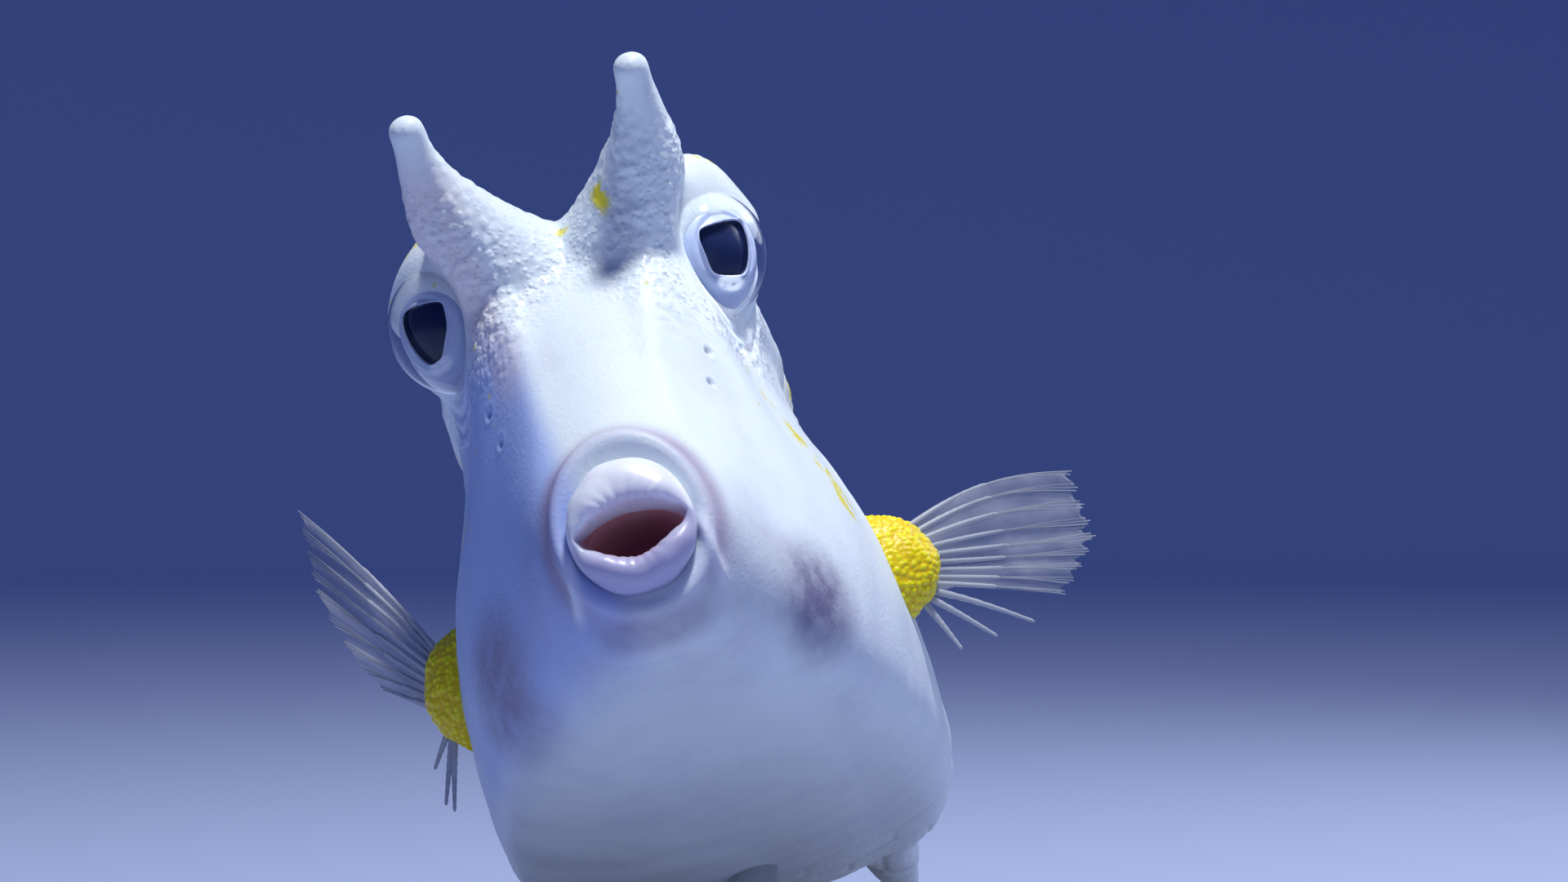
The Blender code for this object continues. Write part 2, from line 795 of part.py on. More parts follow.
def make_fins():
    make_pectoral_fin(1, "pectoral_fin_left", LEFT_STROKE)
    make_pectoral_fin(-1, "pectoral_fin_right", RIGHT_STROKE)
    clear = (GAP + PLATE_HEIGHT * 1.6) / STANDARD_LENGTH
    back = new_object("clear", *shell_loft(0.60, 0.95, 16, 36, clear))
    line = ((0, 0.715, 0.235), (0, 0.790, 0.190))
    make_median_fin("dorsal_fin", MEDIAN_RAYS, line, (72, 28), 0.150, 0.10, [back])
    below = new_object("clear", *shell_loft(0.60, 0.95, 16, 36, clear))
    line = ((0, 0.775, 0.010), (0, 0.850, 0.075))
    make_median_fin("anal_fin", MEDIAN_RAYS, line, (-68, -18), 0.140, 0.08, [below])
    root = STALK_END + GAP / STANDARD_LENGTH
    line = ((0, root, 0.084), (0, root, 0.150))
    make_median_fin("tail_fin", TAIL_RAYS, line, (-24, 24), TAIL_LENGTH, -0.10, [], steps=5)


def rounded_plate(name, length, width, height, corner):
    """A flat base with round corners and a small bevel round its top edge."""
    shaped = bmesh.new()
    bmesh.ops.create_cube(shaped, size=1.0)
    for vertex in shaped.verts:
        across, along, up = vertex.co
        vertex.co = Vector((across * width, along * length, (up + 0.5) * height))
    upright = [edge for edge in shaped.edges if abs(edge.verts[0].co.z - edge.verts[1].co.z) > height / 2]
    bmesh.ops.bevel(shaped, geom=upright, offset=corner, segments=6, affect="EDGES", profile=0.5)
    top = [edge for edge in shaped.edges if all(vertex.co.z > height - 1e-6 for vertex in edge.verts)]
    bmesh.ops.bevel(shaped, geom=top, offset=0.0012, segments=2, affect="EDGES", profile=0.5)
    bmesh.ops.triangulate(shaped, faces=shaped.faces)
    mesh = bpy.data.meshes.new(name)
    shaped.to_mesh(mesh)
    shaped.free()
    made = bpy.data.objects.new(name, mesh)
    bpy.context.collection.objects.link(made)
    return made


def make_stand():
    rounded_plate("stand_base", BASE_LENGTH, BASE_WIDTH, BASE_HEIGHT, BASE_CORNER)
    for name, distance in zip(("stand_rod_front", "stand_rod_rear"), ROD_PLACES):
        meets = POSE @ Vector(shell_point(distance, 0.0))
        floor = BASE_HEIGHT + GAP
        profile = (
            (floor, ROD_COLLAR_RADIUS),
            (floor + ROD_COLLAR_HEIGHT * 0.7, ROD_COLLAR_RADIUS),
            (floor + ROD_COLLAR_HEIGHT, ROD_COLLAR_RADIUS * 0.8),
            (floor + ROD_COLLAR_HEIGHT, ROD_RADIUS),
            (meets.z + 0.004, ROD_RADIUS),
        )
        sides = 16
        rings = []
        for height, radius in profile:
            turns = [2 * math.pi * step / sides for step in range(sides)]
            ring = [(meets.x + radius * math.cos(a), meets.y + radius * math.sin(a), height) for a in turns]
            rings.append(ring)
        rod = new_object(name, *loft(rings), pose=Matrix.Identity(4))
        clear = (GAP + PLATE_HEIGHT * 1.6) / STANDARD_LENGTH
        belly = new_object("clear", *shell_loft(distance - 0.12, distance + 0.12, 12, 48, clear))
        boolean(rod, [belly], "DIFFERENCE")


FINISHES = {
    "skin": ((0.80, 0.82, 0.88), 0.45),
    "lip": ((0.74, 0.74, 0.88), 0.35),
    "horn": ((0.86, 0.88, 0.92), 0.40),
    "eye": ((0.10, 0.10, 0.13), 0.08),
    "yellow_flesh": ((0.86, 0.72, 0.03), 0.50),
    "fin": ((0.78, 0.80, 0.86), 0.40),
    "stand_wood": ((0.05, 0.05, 0.055), 0.35),
    "stand_metal": ((0.75, 0.76, 0.78), 0.25),
}
NODE_FINISHES = (
    ("lips", "lip"),
    ("horn", "horn"),
    ("eye", "eye"),
    ("pectoral_base", "yellow_flesh"),
    ("fin", "fin"),
    ("stand_base", "stand_wood"),
    ("stand_rod", "stand_metal"),
)


def finish_nodes():
    """Gives each node its own material and smooth shading."""
    for node in bpy.context.collection.objects:
        kind = next((slot for word, slot in NODE_FINISHES if word in node.name), "skin")
        colour, roughness = FINISHES[kind]
        metallic = 1.0 if kind == "stand_metal" else 0.0
        node.data.materials.clear()
        node.data.materials.append(material(node.name + "_finish", colour, roughness, metallic))
        node.data.shade_smooth()
        node.data.set_sharp_from_angle(angle=math.radians(35))


def main():
    clear_scene()
    make_head()
    make_lips()
    make_trunk_front()
    make_trunk_rear()
    make_tail_stalk()
    for side, word in ((1, "left"), (-1, "right")):
        horn_mesh(
            f"horn_{word}", BROW_HORN_ROOT, BROW_HORN_TIP, BROW_HORN_RADII, side,
            BROW_HORN_SEAT + GAP / STANDARD_LENGTH / 0.13, 1.0, 16,
        )
        horn_mesh(
            f"belly_horn_{word}", BELLY_HORN_ROOT, BELLY_HORN_TIP, BELLY_HORN_RADII, side,
            BELLY_HORN_SEAT + GAP / STANDARD_LENGTH / 0.21, 1.0,
        )
        globe(f"eye_{word}", mirrored(EYE_CENTRE, side), (EYE_RADIUS,) * 3, eye_axis(side))
        pectoral_root(side, name=f"pectoral_base_{word}")
    make_fins()
    make_stand()
    finish_nodes()


main()
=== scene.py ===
"""Finish of a life-size longhorn cowfish model on its display stand: skin, horns, eyes, fins and stand.

The fish is shaped in its own level frame, with the origin in the middle of its mouth: x to its left,
y back along the body and z up, each a share of its standard length. POSE then sets it on the stand.
"""

import itertools
import math

import bpy
import numpy as np
from mathutils import Matrix, Vector


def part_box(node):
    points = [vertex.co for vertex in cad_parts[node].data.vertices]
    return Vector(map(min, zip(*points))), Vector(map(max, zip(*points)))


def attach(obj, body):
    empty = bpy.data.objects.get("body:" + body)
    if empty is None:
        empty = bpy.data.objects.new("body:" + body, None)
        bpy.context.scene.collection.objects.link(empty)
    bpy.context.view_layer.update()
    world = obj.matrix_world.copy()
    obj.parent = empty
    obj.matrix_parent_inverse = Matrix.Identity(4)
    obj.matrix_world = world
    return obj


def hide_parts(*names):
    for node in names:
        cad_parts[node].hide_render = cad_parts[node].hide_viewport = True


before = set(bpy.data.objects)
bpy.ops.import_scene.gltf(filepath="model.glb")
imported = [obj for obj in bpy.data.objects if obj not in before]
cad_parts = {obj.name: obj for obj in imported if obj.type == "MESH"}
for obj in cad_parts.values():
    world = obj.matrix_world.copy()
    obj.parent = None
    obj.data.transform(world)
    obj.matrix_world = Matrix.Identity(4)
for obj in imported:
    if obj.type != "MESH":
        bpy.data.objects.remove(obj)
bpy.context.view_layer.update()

# Pose of the fish over the stand, in metres and radians
STANDARD_LENGTH = 0.120
NOSE_UP = math.radians(21.5)
BANK = math.radians(16.0)
TURN = math.radians(1.0)
MOUTH_BEFORE_MIDDLE = 0.056
MOUTH_ABOVE_FLOOR = 0.065
POSE = (
    Matrix.Translation(Vector((0.0, -MOUTH_BEFORE_MIDDLE, MOUTH_ABOVE_FLOOR)))
    @ Matrix.Rotation(TURN, 4, "Z")
    @ Matrix.Rotation(-BANK, 4, "Y")
    @ Matrix.Rotation(-NOSE_UP, 4, "X")
    @ Matrix.Scale(STANDARD_LENGTH, 4)
)

# Mouth cavity and the fold round the lips: distance behind the mouth, half-width, half-height, and
# how much taller it is above than below
MOUTH_RINGS = (
    (0.062, 0.006, 0.005),
    (0.056, 0.015, 0.010),
    (0.040, 0.024, 0.014),
    (0.014, 0.028, 0.016),
    (0.006, 0.034, 0.024),
    (-0.001, 0.0390, 0.0430, 0.10),
    (-0.005, 0.0430, 0.0480, 0.16),
    (-0.006, 0.0470, 0.0530, 0.18),
)
FOLD_OUTER = (0.004, 0.0535, 0.0600, 0.17)

# The shell behind the fold: distance behind the mouth, height of the belly, height and half-width
# of the lower ridge, of the flank and of the upper ridge, and height of the back
SHELL = (
    (0.022, -0.067, -0.030, 0.058, 0.010, 0.062, 0.050, 0.049, 0.077),
    (0.050, -0.074, -0.032, 0.072, 0.040, 0.069, 0.106, 0.047, 0.128),
    (0.085, -0.081, -0.036, 0.090, 0.070, 0.080, 0.175, 0.051, 0.190),
    (0.120, -0.087, -0.040, 0.107, 0.095, 0.095, 0.241, 0.064, 0.243),
    (0.150, -0.091, -0.043, 0.121, 0.110, 0.105, 0.276, 0.080, 0.268),
    (0.190, -0.095, -0.047, 0.135, 0.118, 0.117, 0.292, 0.089, 0.286),
    (0.250, -0.099, -0.050, 0.149, 0.122, 0.130, 0.300, 0.094, 0.304),
    (0.340, -0.102, -0.053, 0.160, 0.124, 0.137, 0.305, 0.097, 0.326),
    (0.450, -0.101, -0.056, 0.162, 0.124, 0.135, 0.304, 0.095, 0.340),
    (0.560, -0.092, -0.053, 0.154, 0.123, 0.124, 0.292, 0.088, 0.325),
    (0.660, -0.074, -0.042, 0.136, 0.121, 0.109, 0.266, 0.076, 0.290),
    (0.740, -0.040, -0.012, 0.105, 0.120, 0.087, 0.230, 0.057, 0.246),
    (0.800, 0.018, 0.036, 0.069, 0.119, 0.063, 0.192, 0.040, 0.204),
    (0.850, 0.060, 0.072, 0.040, 0.118, 0.042, 0.160, 0.028, 0.171),
    (0.920, 0.076, 0.086, 0.025, 0.117, 0.028, 0.146, 0.019, 0.155),
    (1.000, 0.074, 0.086, 0.014, 0.117, 0.017, 0.148, 0.011, 0.160),
)
AROUND = 12
STALK_END = 1.000

# Plates of the shell
PLATES_AROUND = 18
PLATE_PITCH = 0.066

# Eyes: centre of the globe, its radius, the flattened eyeball inside it and the lid round it
EYE_CENTRE = (0.077, 0.176, 0.239)
EYE_FORWARD = math.radians(35.0)
EYEBALL_RADIUS = 0.0445
GAZE_FORWARD = math.radians(48.0)
GAZE_DOWN = math.radians(16.0)
ORBIT_WIDE = 0.031
ORBIT_HIGH = 0.050
LID_RING = 0.0470
LID_HEIGHT = 0.0050
LID_THICK = 0.0180

# The smooth lid that runs down onto the eyeball: turn from straight up towards the nose, how far its
# edge is from the gaze and how wide its slope is, all in degrees, and how far it stands from the middle
# of the left and of the right eye
LID_COVER = (
    (-180.0, 84.0, 23.0, 0.0490, 0.0490),
    (-130.0, 100.0, 23.0, 0.0480, 0.0480),
    (-92.0, 98.0, 23.0, 0.0490, 0.0490),
    (-74.0, 62.0, 23.0, 0.0550, 0.0540),
    (-60.0, 37.0, 25.0, 0.0565, 0.0555),
    (-38.0, 40.0, 31.0, 0.0585, 0.0570),
    (-22.0, 33.0, 42.0, 0.0630, 0.0585),
    (-10.0, 29.0, 52.0, 0.0700, 0.0615),
    (5.0, 26.0, 56.0, 0.0720, 0.0640),
    (30.0, 27.5, 50.0, 0.0680, 0.0630),
    (60.0, 34.5, 36.0, 0.0610, 0.0600),
    (92.0, 43.0, 26.0, 0.0565, 0.0560),
    (135.0, 62.0, 23.0, 0.0520, 0.0520),
)
LID_BACK = math.radians(112.0)

# Flesh behind each eye: place along the eye's axis and radius
SOCKET_PROFILE = (
    (-0.030, 0.055),
    (-0.010, 0.0600),
    (0.000, 0.0580),
    (0.006, 0.0500),
    (0.004, 0.040),
    (0.0, 0.030),
)

# Clear dome over the front of each eye: radius, how far its middle is before the eye's, thickness, and
# the angle from its middle to its edge
CORNEA_RADIUS = 0.0462
CORNEA_RISE = 0.0095
CORNEA_THICK = 0.0009
CORNEA_OPEN = 1.40

# Corners of each pupil, towards the nose and up from its middle
PUPILS = {
    "left": (
        (0.0200, 0.0118),
        (-0.0178, 0.0212),
        (-0.0192, 0.0034),
        (-0.0160, -0.0180),
        (0.0126, -0.0200),
        (0.0215, 0.0020),
    ),
    "right": (
        (0.0232, 0.0128),
        (-0.0178, 0.0232),
        (-0.0178, 0.0048),
        (-0.0130, -0.0192),
        (0.0034, -0.0204),
        (0.0196, -0.0060),
    ),
}

# Rim of a pupil: share of its outline, depth below the globe, and whether it is still dark
PUPIL_SINK = 0.0042
PUPIL_RIM = (
    (0.955, 0.0040, 1),
    (0.975, 0.0032, 1),
    (0.99, 0.0020, 1),
    (1.0, 0.0010, 0),
    (1.015, 0.0003, 0),
    (1.035, -0.0003, 0),
    (1.06, -0.0005, 0),
)
LIMBUS_RADIUS = 0.0265
EYE_SPOKES = 192

# Horns: root, tip, and radius at shares of the way to the tip; each starts a little inside its root,
# and is a piece of its own from its seat outwards
HORN_START = -0.05
BROW_HORN_ROOT = (0.070, 0.142, 0.248)
BROW_HORN_TIP = (0.0745, 0.036, 0.325)
BROW_HORN_RADII = (
    (0.00, 0.056),
    (0.16, 0.045),
    (0.31, 0.0345),
    (0.46, 0.0270),
    (0.60, 0.0190),
    (0.74, 0.0140),
    (0.86, 0.0115),
    (0.93, 0.0120),
)
BROW_HORN_SEAT = 0.45
HORN_LEAN_LOSS = 0.9
BELLY_HORN_ROOT = (0.114, 0.640, -0.044)
BELLY_HORN_TIP = (0.098, 0.850, -0.090)
BELLY_HORN_RADII = (
    (0.00, 0.030),
    (0.25, 0.022),
    (0.45, 0.0150),
    (0.65, 0.0110),
    (0.85, 0.0080),
    (0.94, 0.0065),
)
BELLY_HORN_SEAT = 0.36

# Pectoral fins: the fleshy root, then ray number, angle above straight out and length of ray
PECTORAL_ROOT = (0.136, 0.305, 0.035)
PECTORAL_ROOT_RADII = {"left": (0.048, 0.029, 0.041), "right": (0.042, 0.029, 0.046)}
PECTORAL_RAYS = 12
FREE_RAYS = 3
PECTORAL_SWEEP = math.radians(25.0)
LEFT_STROKE = (
    (0, 14.0, 0.163),
    (4, 2.0, 0.157),
    (8, -10.0, 0.116),
    (9, -19.0, 0.087),
    (10, -34.0, 0.060),
    (11, -62.0, 0.042),
)
RIGHT_STROKE = (
    (0, 60.0, 0.192),
    (4, 52.0, 0.150),
    (8, 38.0, 0.066),
    (9, -44.0, 0.034),
    (10, -64.0, 0.050),
    (11, -72.0, 0.050),
)
TAIL_RAYS = 10
TAIL_LENGTH = 0.384
MEDIAN_RAYS = 9

# Webs and rays of all fins: half-thickness of a web, depth of its pleats, share of a ray that it reaches,
# and half-width of a ray
WEB_THIN = 0.0007
PLEAT = 0.0016
WEB_MARGIN = 0.97
RAY_WIDTH = 0.0024

# Lips: the open mouth, the outer edge, and how far behind the mouth's plane their parts lie
LIP_PLACES = 192
MOUTH_OPEN_WIDE = 0.0318
MOUTH_OPEN_UP = 0.0118
MOUTH_OPEN_DOWN = 0.0180
MOUTH_DROP = 0.0022
LIP_WIDE = 0.0385
LIP_HIGH = 0.0445
LIP_LOW = 0.0385
LIP_FRONT = -0.0215
LIP_WIDEST = -0.0075
LIP_INNER_END = 0.010
LIP_OUTER_END = 0.0035

# Blotches of the skin and zones of painted shade and shadow: middle, half-sizes, colour and strength
DUSK = (0.20, 0.18, 0.31)
TAN = (0.82, 0.72, 0.72)
BLOTCHES_AND_PAINTED_SHADE = (
    ((-0.112, 0.130, -0.026), (0.048, 0.058, 0.042), DUSK, 0.85),
    ((0.097, 0.102, -0.038), (0.035, 0.043, 0.032), DUSK, 1.0),
    ((0.075, 0.030, -0.030), (0.042, 0.045, 0.048), DUSK, 0.28),
    ((-0.060, 0.030, -0.020), (0.040, 0.040, 0.060), DUSK, 0.24),
    ((-0.080, 0.085, 0.270), (0.024, 0.045, 0.040), TAN, 0.80),
    ((-0.068, 0.095, 0.215), (0.017, 0.034, 0.036), TAN, 0.90),
    ((-0.054, 0.074, 0.165), (0.012, 0.030, 0.030), TAN, 0.60),
    # Painted shadow of the left brow horn on the forehead
    ((0.040, 0.090, 0.250), (0.010, 0.026, 0.030), DUSK, 0.30),
    ((0.024, 0.098, 0.214), (0.009, 0.022, 0.018), DUSK, 0.30),
    # Painted shade under the chin, and painted shadow below the lower lip
    ((0.0, 0.075, -0.085), (0.05, 0.05, 0.03), DUSK, 0.10),
    ((-0.005, 0.004, -0.062), (0.048, 0.018, 0.014), DUSK, 0.60),
)

# Yellow patches between the horns, above the eyes and at the edges of the cheeks: middle and half-sizes
YELLOW_PATCHES = (
    ((0.034, 0.103, 0.262), (0.008, 0.018, 0.014)),
    ((0.012, 0.126, 0.256), (0.026, 0.008, 0.007)),
    ((0.040, 0.118, 0.280), (0.006, 0.010, 0.022)),
    ((0.105, 0.156, 0.297), (0.010, 0.018, 0.008)),
    ((-0.098, 0.156, 0.294), (0.010, 0.018, 0.010)),
    ((0.105, 0.160, 0.150), (0.012, 0.015, 0.012)),
    ((0.110, 0.170, 0.130), (0.012, 0.013, 0.012)),
    ((0.118, 0.181, 0.103), (0.012, 0.015, 0.015)),
    ((0.126, 0.197, 0.083), (0.012, 0.014, 0.010)),
    ((0.132, 0.205, 0.058), (0.012, 0.015, 0.016)),
    ((-0.100, 0.146, 0.130), (0.010, 0.012, 0.015)),
    ((-0.118, 0.188, 0.104), (0.010, 0.013, 0.014)),
)

# Stand, in metres: the base, then the rods and the collar at the foot of each
BASE_LENGTH = 0.120
BASE_WIDTH = 0.088
BASE_HEIGHT = 0.008
BASE_CORNER = 0.018
BASE_BEVEL = 0.0012
ROD_RADIUS = 0.0022
COLLAR_RADIUS = 0.0045
COLLAR_HEIGHT = 0.0025
COLLAR_BEVEL = 0.0008

# Photographed view: width of the picture in pixels, metres that a pixel covers at the mouth, distance of
# the camera in metres, and how many pixels the mouth is left of and below the picture's middle
PHOTO_WIDTH = 1920
PIXEL_AT_MOUTH = 0.0575e-3
CAMERA_DISTANCE = 0.225
MOUTH_LEFT_OF_MIDDLE = 185
MOUTH_BELOW_MIDDLE = 110
SENSOR = 36.0

# Direction from which the main light falls
KEY_FROM = (0.106, -0.125, 0.987)

# Relief of the skin: heights and depths, and the sizes of what repeats
PLATE_HEIGHT = 0.0012
PLATE_DOME = 0.0008
GRANULE_SIZE = 0.0062
GRANULE_HEIGHT = 0.0012
WRINKLE_SIZE = 0.020
WRINKLE_HEIGHT = 0.0009
SWELL_SIZE = 0.06
SWELL_HEIGHT = 0.0007
SADDLE_DEPTH = 0.0030
EYE_FOLD_PITCH = 0.0115
EYE_FOLD_HEIGHT = 0.0008
PIT_DEPTH = 0.0035
PIT_RIM_HEIGHT = 0.0004
SLIT_DEPTH = 0.0060
SLIT_LIP_HEIGHT = 0.0012
LIP_GROOVE_DEPTH = 0.0016
CORNER_FOLD_HEIGHT = 0.0024
CHIN_WRINKLE_PITCH = 0.014
CHIN_WRINKLE_HEIGHT = 0.0004

# The two nostril pits and the gill slit of the left side: distance behind the mouth and place round the
# shell; the slit lies that much lower than its place
NOSTRILS = ((0.096, 3.45), (0.080, 3.40))
GILL = (0.262, 3.0)
GILL_DROP = 0.045

# Size of the skin's quads in metres
VOXEL = 0.00020


def smooth_step(low, high, value):
    """Nought at the first value rising softly to one at the second, which may also be the lower one."""
    share = np.clip((value - low) / (high - low), 0.0, 1.0)
    return share * share * (3 - 2 * share)


def bell(distance, width):
    """One at no distance, falling softly to nearly nought at twice the width."""
    return np.exp(-((distance / width) ** 2))


def round_turns(count):
    """That many turns in radians, evenly all the way round."""
    return 2 * np.pi * np.arange(count) / count


def catmull(before, start, end, after, share):
    """Point at a share of the way between the middle two of four points."""
    return 0.5 * (
        2 * start
        + (end - before) * share
        + (2 * before - 5 * start + 4 * end - after) * share**2
        + (3 * start - before - 3 * end + after) * share**3
    )


def oval_ring(distance, half_width, half_height, taller=0.0):
    turns = round_turns(AROUND)
    up = -np.cos(turns) * (1 + taller * (np.cos(turns) < 0))
    return np.stack([half_width * np.sin(turns), np.full(AROUND, distance), half_height * up], 1)


def off_lips(points):
    """Distance from the middle of the mouth, evened so that the fold round the lips keeps to one value."""
    return np.hypot(points[:, 0] / 0.87, points[:, 2] / (1 + 0.18 * (points[:, 2] > 0)))


def shell_ring(distance, belly, low, low_width, flank, flank_width, high, high_width, back):
    side = (
        (0.0, belly),
        (0.55 * low_width, belly + 0.12 * (low - belly)),
        (low_width, low),
        (flank_width, flank),
        (high_width, high),
        (0.55 * high_width, high + 0.7 * (back - high)),
        (0.0, back),
    )
    left = [(x, distance, z) for x, z in side]
    right = [(-x, distance, z) for x, z in reversed(side[1:-1])]
    return np.array(left + right)


STATIONS = np.array([oval_ring(*FOLD_OUTER)] + [shell_ring(*row) for row in SHELL])


def control_rings(distances):
    """The twelve points of the shell's section at each distance behind the mouth."""
    last = len(STATIONS) - 1
    ring = np.clip(np.searchsorted(STATIONS[:, 0, 1], distances, side="right") - 1, 0, last - 1)
    four = [STATIONS[np.clip(ring + step, 0, last)] for step in (-1, 0, 1, 2)]
    low, high = np.zeros(len(distances)), np.ones(len(distances))
    for _ in range(26):
        share = (low + high) / 2
        short = catmull(*[part[:, 0, 1] for part in four], share) < distances
        low = np.where(short, share, low)
        high = np.where(short, high, share)
    rings = catmull(*four, ((low + high) / 2)[:, None, None])
    rings[:, :, 1] = np.asarray(distances)[:, None]
    return rings


def along_ring(rings, places):
    """Points at places round each ring; places run 0 to 12 from the belly by the fish's left side."""
    first = np.floor(places).astype(int)
    four = [rings[:, (first + step) % AROUND] for step in (-1, 0, 1, 2)]
    return catmull(*four, (places - first)[None, :, None])


def shell_grid(distances, places):
    return along_ring(control_rings(np.asarray(distances, float)), np.asarray(places, float))


def on_side(distance, place, side):
    """The point of the shell at a place of its left side, or the one opposite on its right."""
    return shell_grid([distance], [place if side > 0 else AROUND - place])[0, 0]


FINE_PLACES = np.linspace(0, AROUND, 361)
FINE_DISTANCES = np.linspace(0.004, STALK_END, 333)
FINE_SHELL = shell_grid(FINE_DISTANCES, FINE_PLACES)
FINE_MIDDLE = (FINE_SHELL[:, 0, 2] + FINE_SHELL[:, 180, 2]) / 2
FINE_TURN = np.unwrap(
    np.arctan2(FINE_SHELL[:, :, 0], FINE_MIDDLE[:, None] - FINE_SHELL[:, :, 2]), axis=1
)
WIDEST = shell_grid([0.40], FINE_PLACES)[0]
WIDEST_STEPS = np.linalg.norm(np.diff(WIDEST, axis=0), axis=1)
WIDEST_SHARES = np.concatenate([[0.0], np.cumsum(WIDEST_STEPS)]) / WIDEST_STEPS.sum()


def share_around(points):
    """How far round the shell each point is, 0 to 1 from the belly by the fish's left, by length."""
    row = np.clip(np.searchsorted(FINE_DISTANCES, points[:, 1]) - 1, 0, len(FINE_DISTANCES) - 2)
    part = np.clip((points[:, 1] - FINE_DISTANCES[row]) / np.diff(FINE_DISTANCES)[row], 0, 1)
    middle = FINE_MIDDLE[row] * (1 - part) + FINE_MIDDLE[row + 1] * part
    turn = np.arctan2(points[:, 0], middle - points[:, 2]) % (2 * np.pi)
    place = np.zeros(len(points))
    order = np.argsort(row, kind="stable")
    edges = np.searchsorted(row[order], np.arange(len(FINE_DISTANCES) + 1))
    for line in range(len(FINE_DISTANCES) - 1):
        mine = order[edges[line]:edges[line + 1]]
        here = np.interp(turn[mine], FINE_TURN[line], FINE_PLACES)
        there = np.interp(turn[mine], FINE_TURN[line + 1], FINE_PLACES)
        place[mine] = here * (1 - part[mine]) + there * part[mine]
    return np.interp(place, FINE_PLACES, WIDEST_SHARES)


def pebbles(points, size, seed):
    """Distance to the nearest of scattered points, one to each cell of that size, in cells."""
    scaled = points / size
    cell = np.floor(scaled).astype(np.int64)
    nearest = np.full(len(points), 9.0)
    for step in itertools.product((-1, 0, 1), repeat=3):
        place = cell + np.array(step)
        mixed = (place[:, 0] * 73856093) ^ (place[:, 1] * 19349663) ^ (place[:, 2] * 83492791) ^ seed
        spot = place.astype(float)
        for axis in range(3):
            mixed = (mixed * 1103515245 + 12345) & 0x7FFFFFFF
            spot[:, axis] += 0.15 + 0.70 * (mixed >> 8) / float(0x7FFFFF)
        nearest = np.minimum(nearest, np.linalg.norm(scaled - spot, axis=1))
    return nearest


def waves(points, size, seed):
    """A smooth wandering value from about -1 to 1, from a few crossing sine waves."""
    draw = np.random.default_rng(seed)
    total = np.zeros(len(points))
    for _ in range(6):
        direction = draw.normal(size=3)
        direction /= np.linalg.norm(direction)
        stretch = draw.uniform(0.7, 1.5)
        total += np.sin(points @ direction * (2 * np.pi * stretch / size) + draw.uniform(0, 2 * np.pi))
    return total / 3.0


def grid_faces(rows, columns, wrap=True):
    """Quads of a grid of points, row by row."""
    row = np.arange(rows - 1)[:, None] * columns
    column = np.arange(columns if wrap else columns - 1)[None, :]
    beside = (column + 1) % columns
    corners = (row + column, row + beside, row + columns + beside, row + columns + column)
    return np.stack(corners, -1).reshape(-1, 4)


def plain_mesh(name, points, faces):
    """A mesh from arrays of points and of faces that all have as many corners."""
    mesh = bpy.data.meshes.new(name)
    faces = np.asarray(faces)
    mesh.vertices.add(len(points))
    mesh.vertices.foreach_set("co", np.asarray(points, np.float32).ravel())
    mesh.loops.add(faces.size)
    mesh.loops.foreach_set("vertex_index", faces.astype(np.int32).ravel())
    mesh.polygons.add(len(faces))
    mesh.polygons.foreach_set("loop_start", np.arange(len(faces), dtype=np.int32) * faces.shape[1])
    mesh.update(calc_edges=True)
    mesh.validate()
    return mesh


def mesh_arrays(mesh):
    points = np.empty(len(mesh.vertices) * 3, np.float32)
    mesh.vertices.foreach_get("co", points)
    corners = np.empty(len(mesh.loops), np.int32)
    mesh.loops.foreach_get("vertex_index", corners)
    return points.reshape(-1, 3).astype(float), corners.reshape(-1, 4)


def corner_normals(points, faces):
    """Unit normals at the points of a mesh of quads."""
    across = points[faces[:, 2]] - points[faces[:, 0]]
    along = points[faces[:, 3]] - points[faces[:, 1]]
    flat = np.cross(across, along)
    total = np.zeros_like(points)
    for corner in range(4):
        for axis in range(3):
            total[:, axis] += np.bincount(faces[:, corner], flat[:, axis], len(points))
    return total / np.maximum(np.linalg.norm(total, axis=1, keepdims=True), 1e-12)


def relaxed(points, faces, rounds, weight):
    """Points drawn towards the middle of their neighbours, as far as each one's weight says."""
    pairs = np.concatenate([faces[:, [0, 1]], faces[:, [1, 2]], faces[:, [2, 3]], faces[:, [3, 0]]])
    count = np.bincount(pairs[:, 0], minlength=len(points)) + np.bincount(pairs[:, 1], minlength=len(points))
    for _ in range(rounds):
        middle = np.zeros_like(points)
        for axis in range(3):
            middle[:, axis] += np.bincount(pairs[:, 0], points[pairs[:, 1], axis], len(points))
            middle[:, axis] += np.bincount(pairs[:, 1], points[pairs[:, 0], axis], len(points))
        middle /= count[:, None]
        points = points + (middle - points) * weight[:, None]
    return points


def zone_share(first, second, middle, sizes):
    """One inside an oval of that middle and size, falling softly to nought at its edge."""
    return smooth_step(1.25, 0.75, np.hypot((first - middle[0]) / sizes[0], (second - middle[1]) / sizes[1]))


def posed(points):
    """Points of the fish's own frame where they are on the stand, in metres."""
    matrix = np.array(POSE)
    return points @ matrix[:3, :3].T + matrix[:3, 3]


def mark(mesh, name, values):
    """Keeps a value of each point on the mesh, for its material to read."""
    values = np.asarray(values, np.float32)
    kind = "FLOAT_VECTOR" if values.ndim == 2 else "FLOAT"
    layer = mesh.attributes.new(name, kind, "POINT")
    layer.data.foreach_set("vector" if values.ndim == 2 else "value", values.ravel())


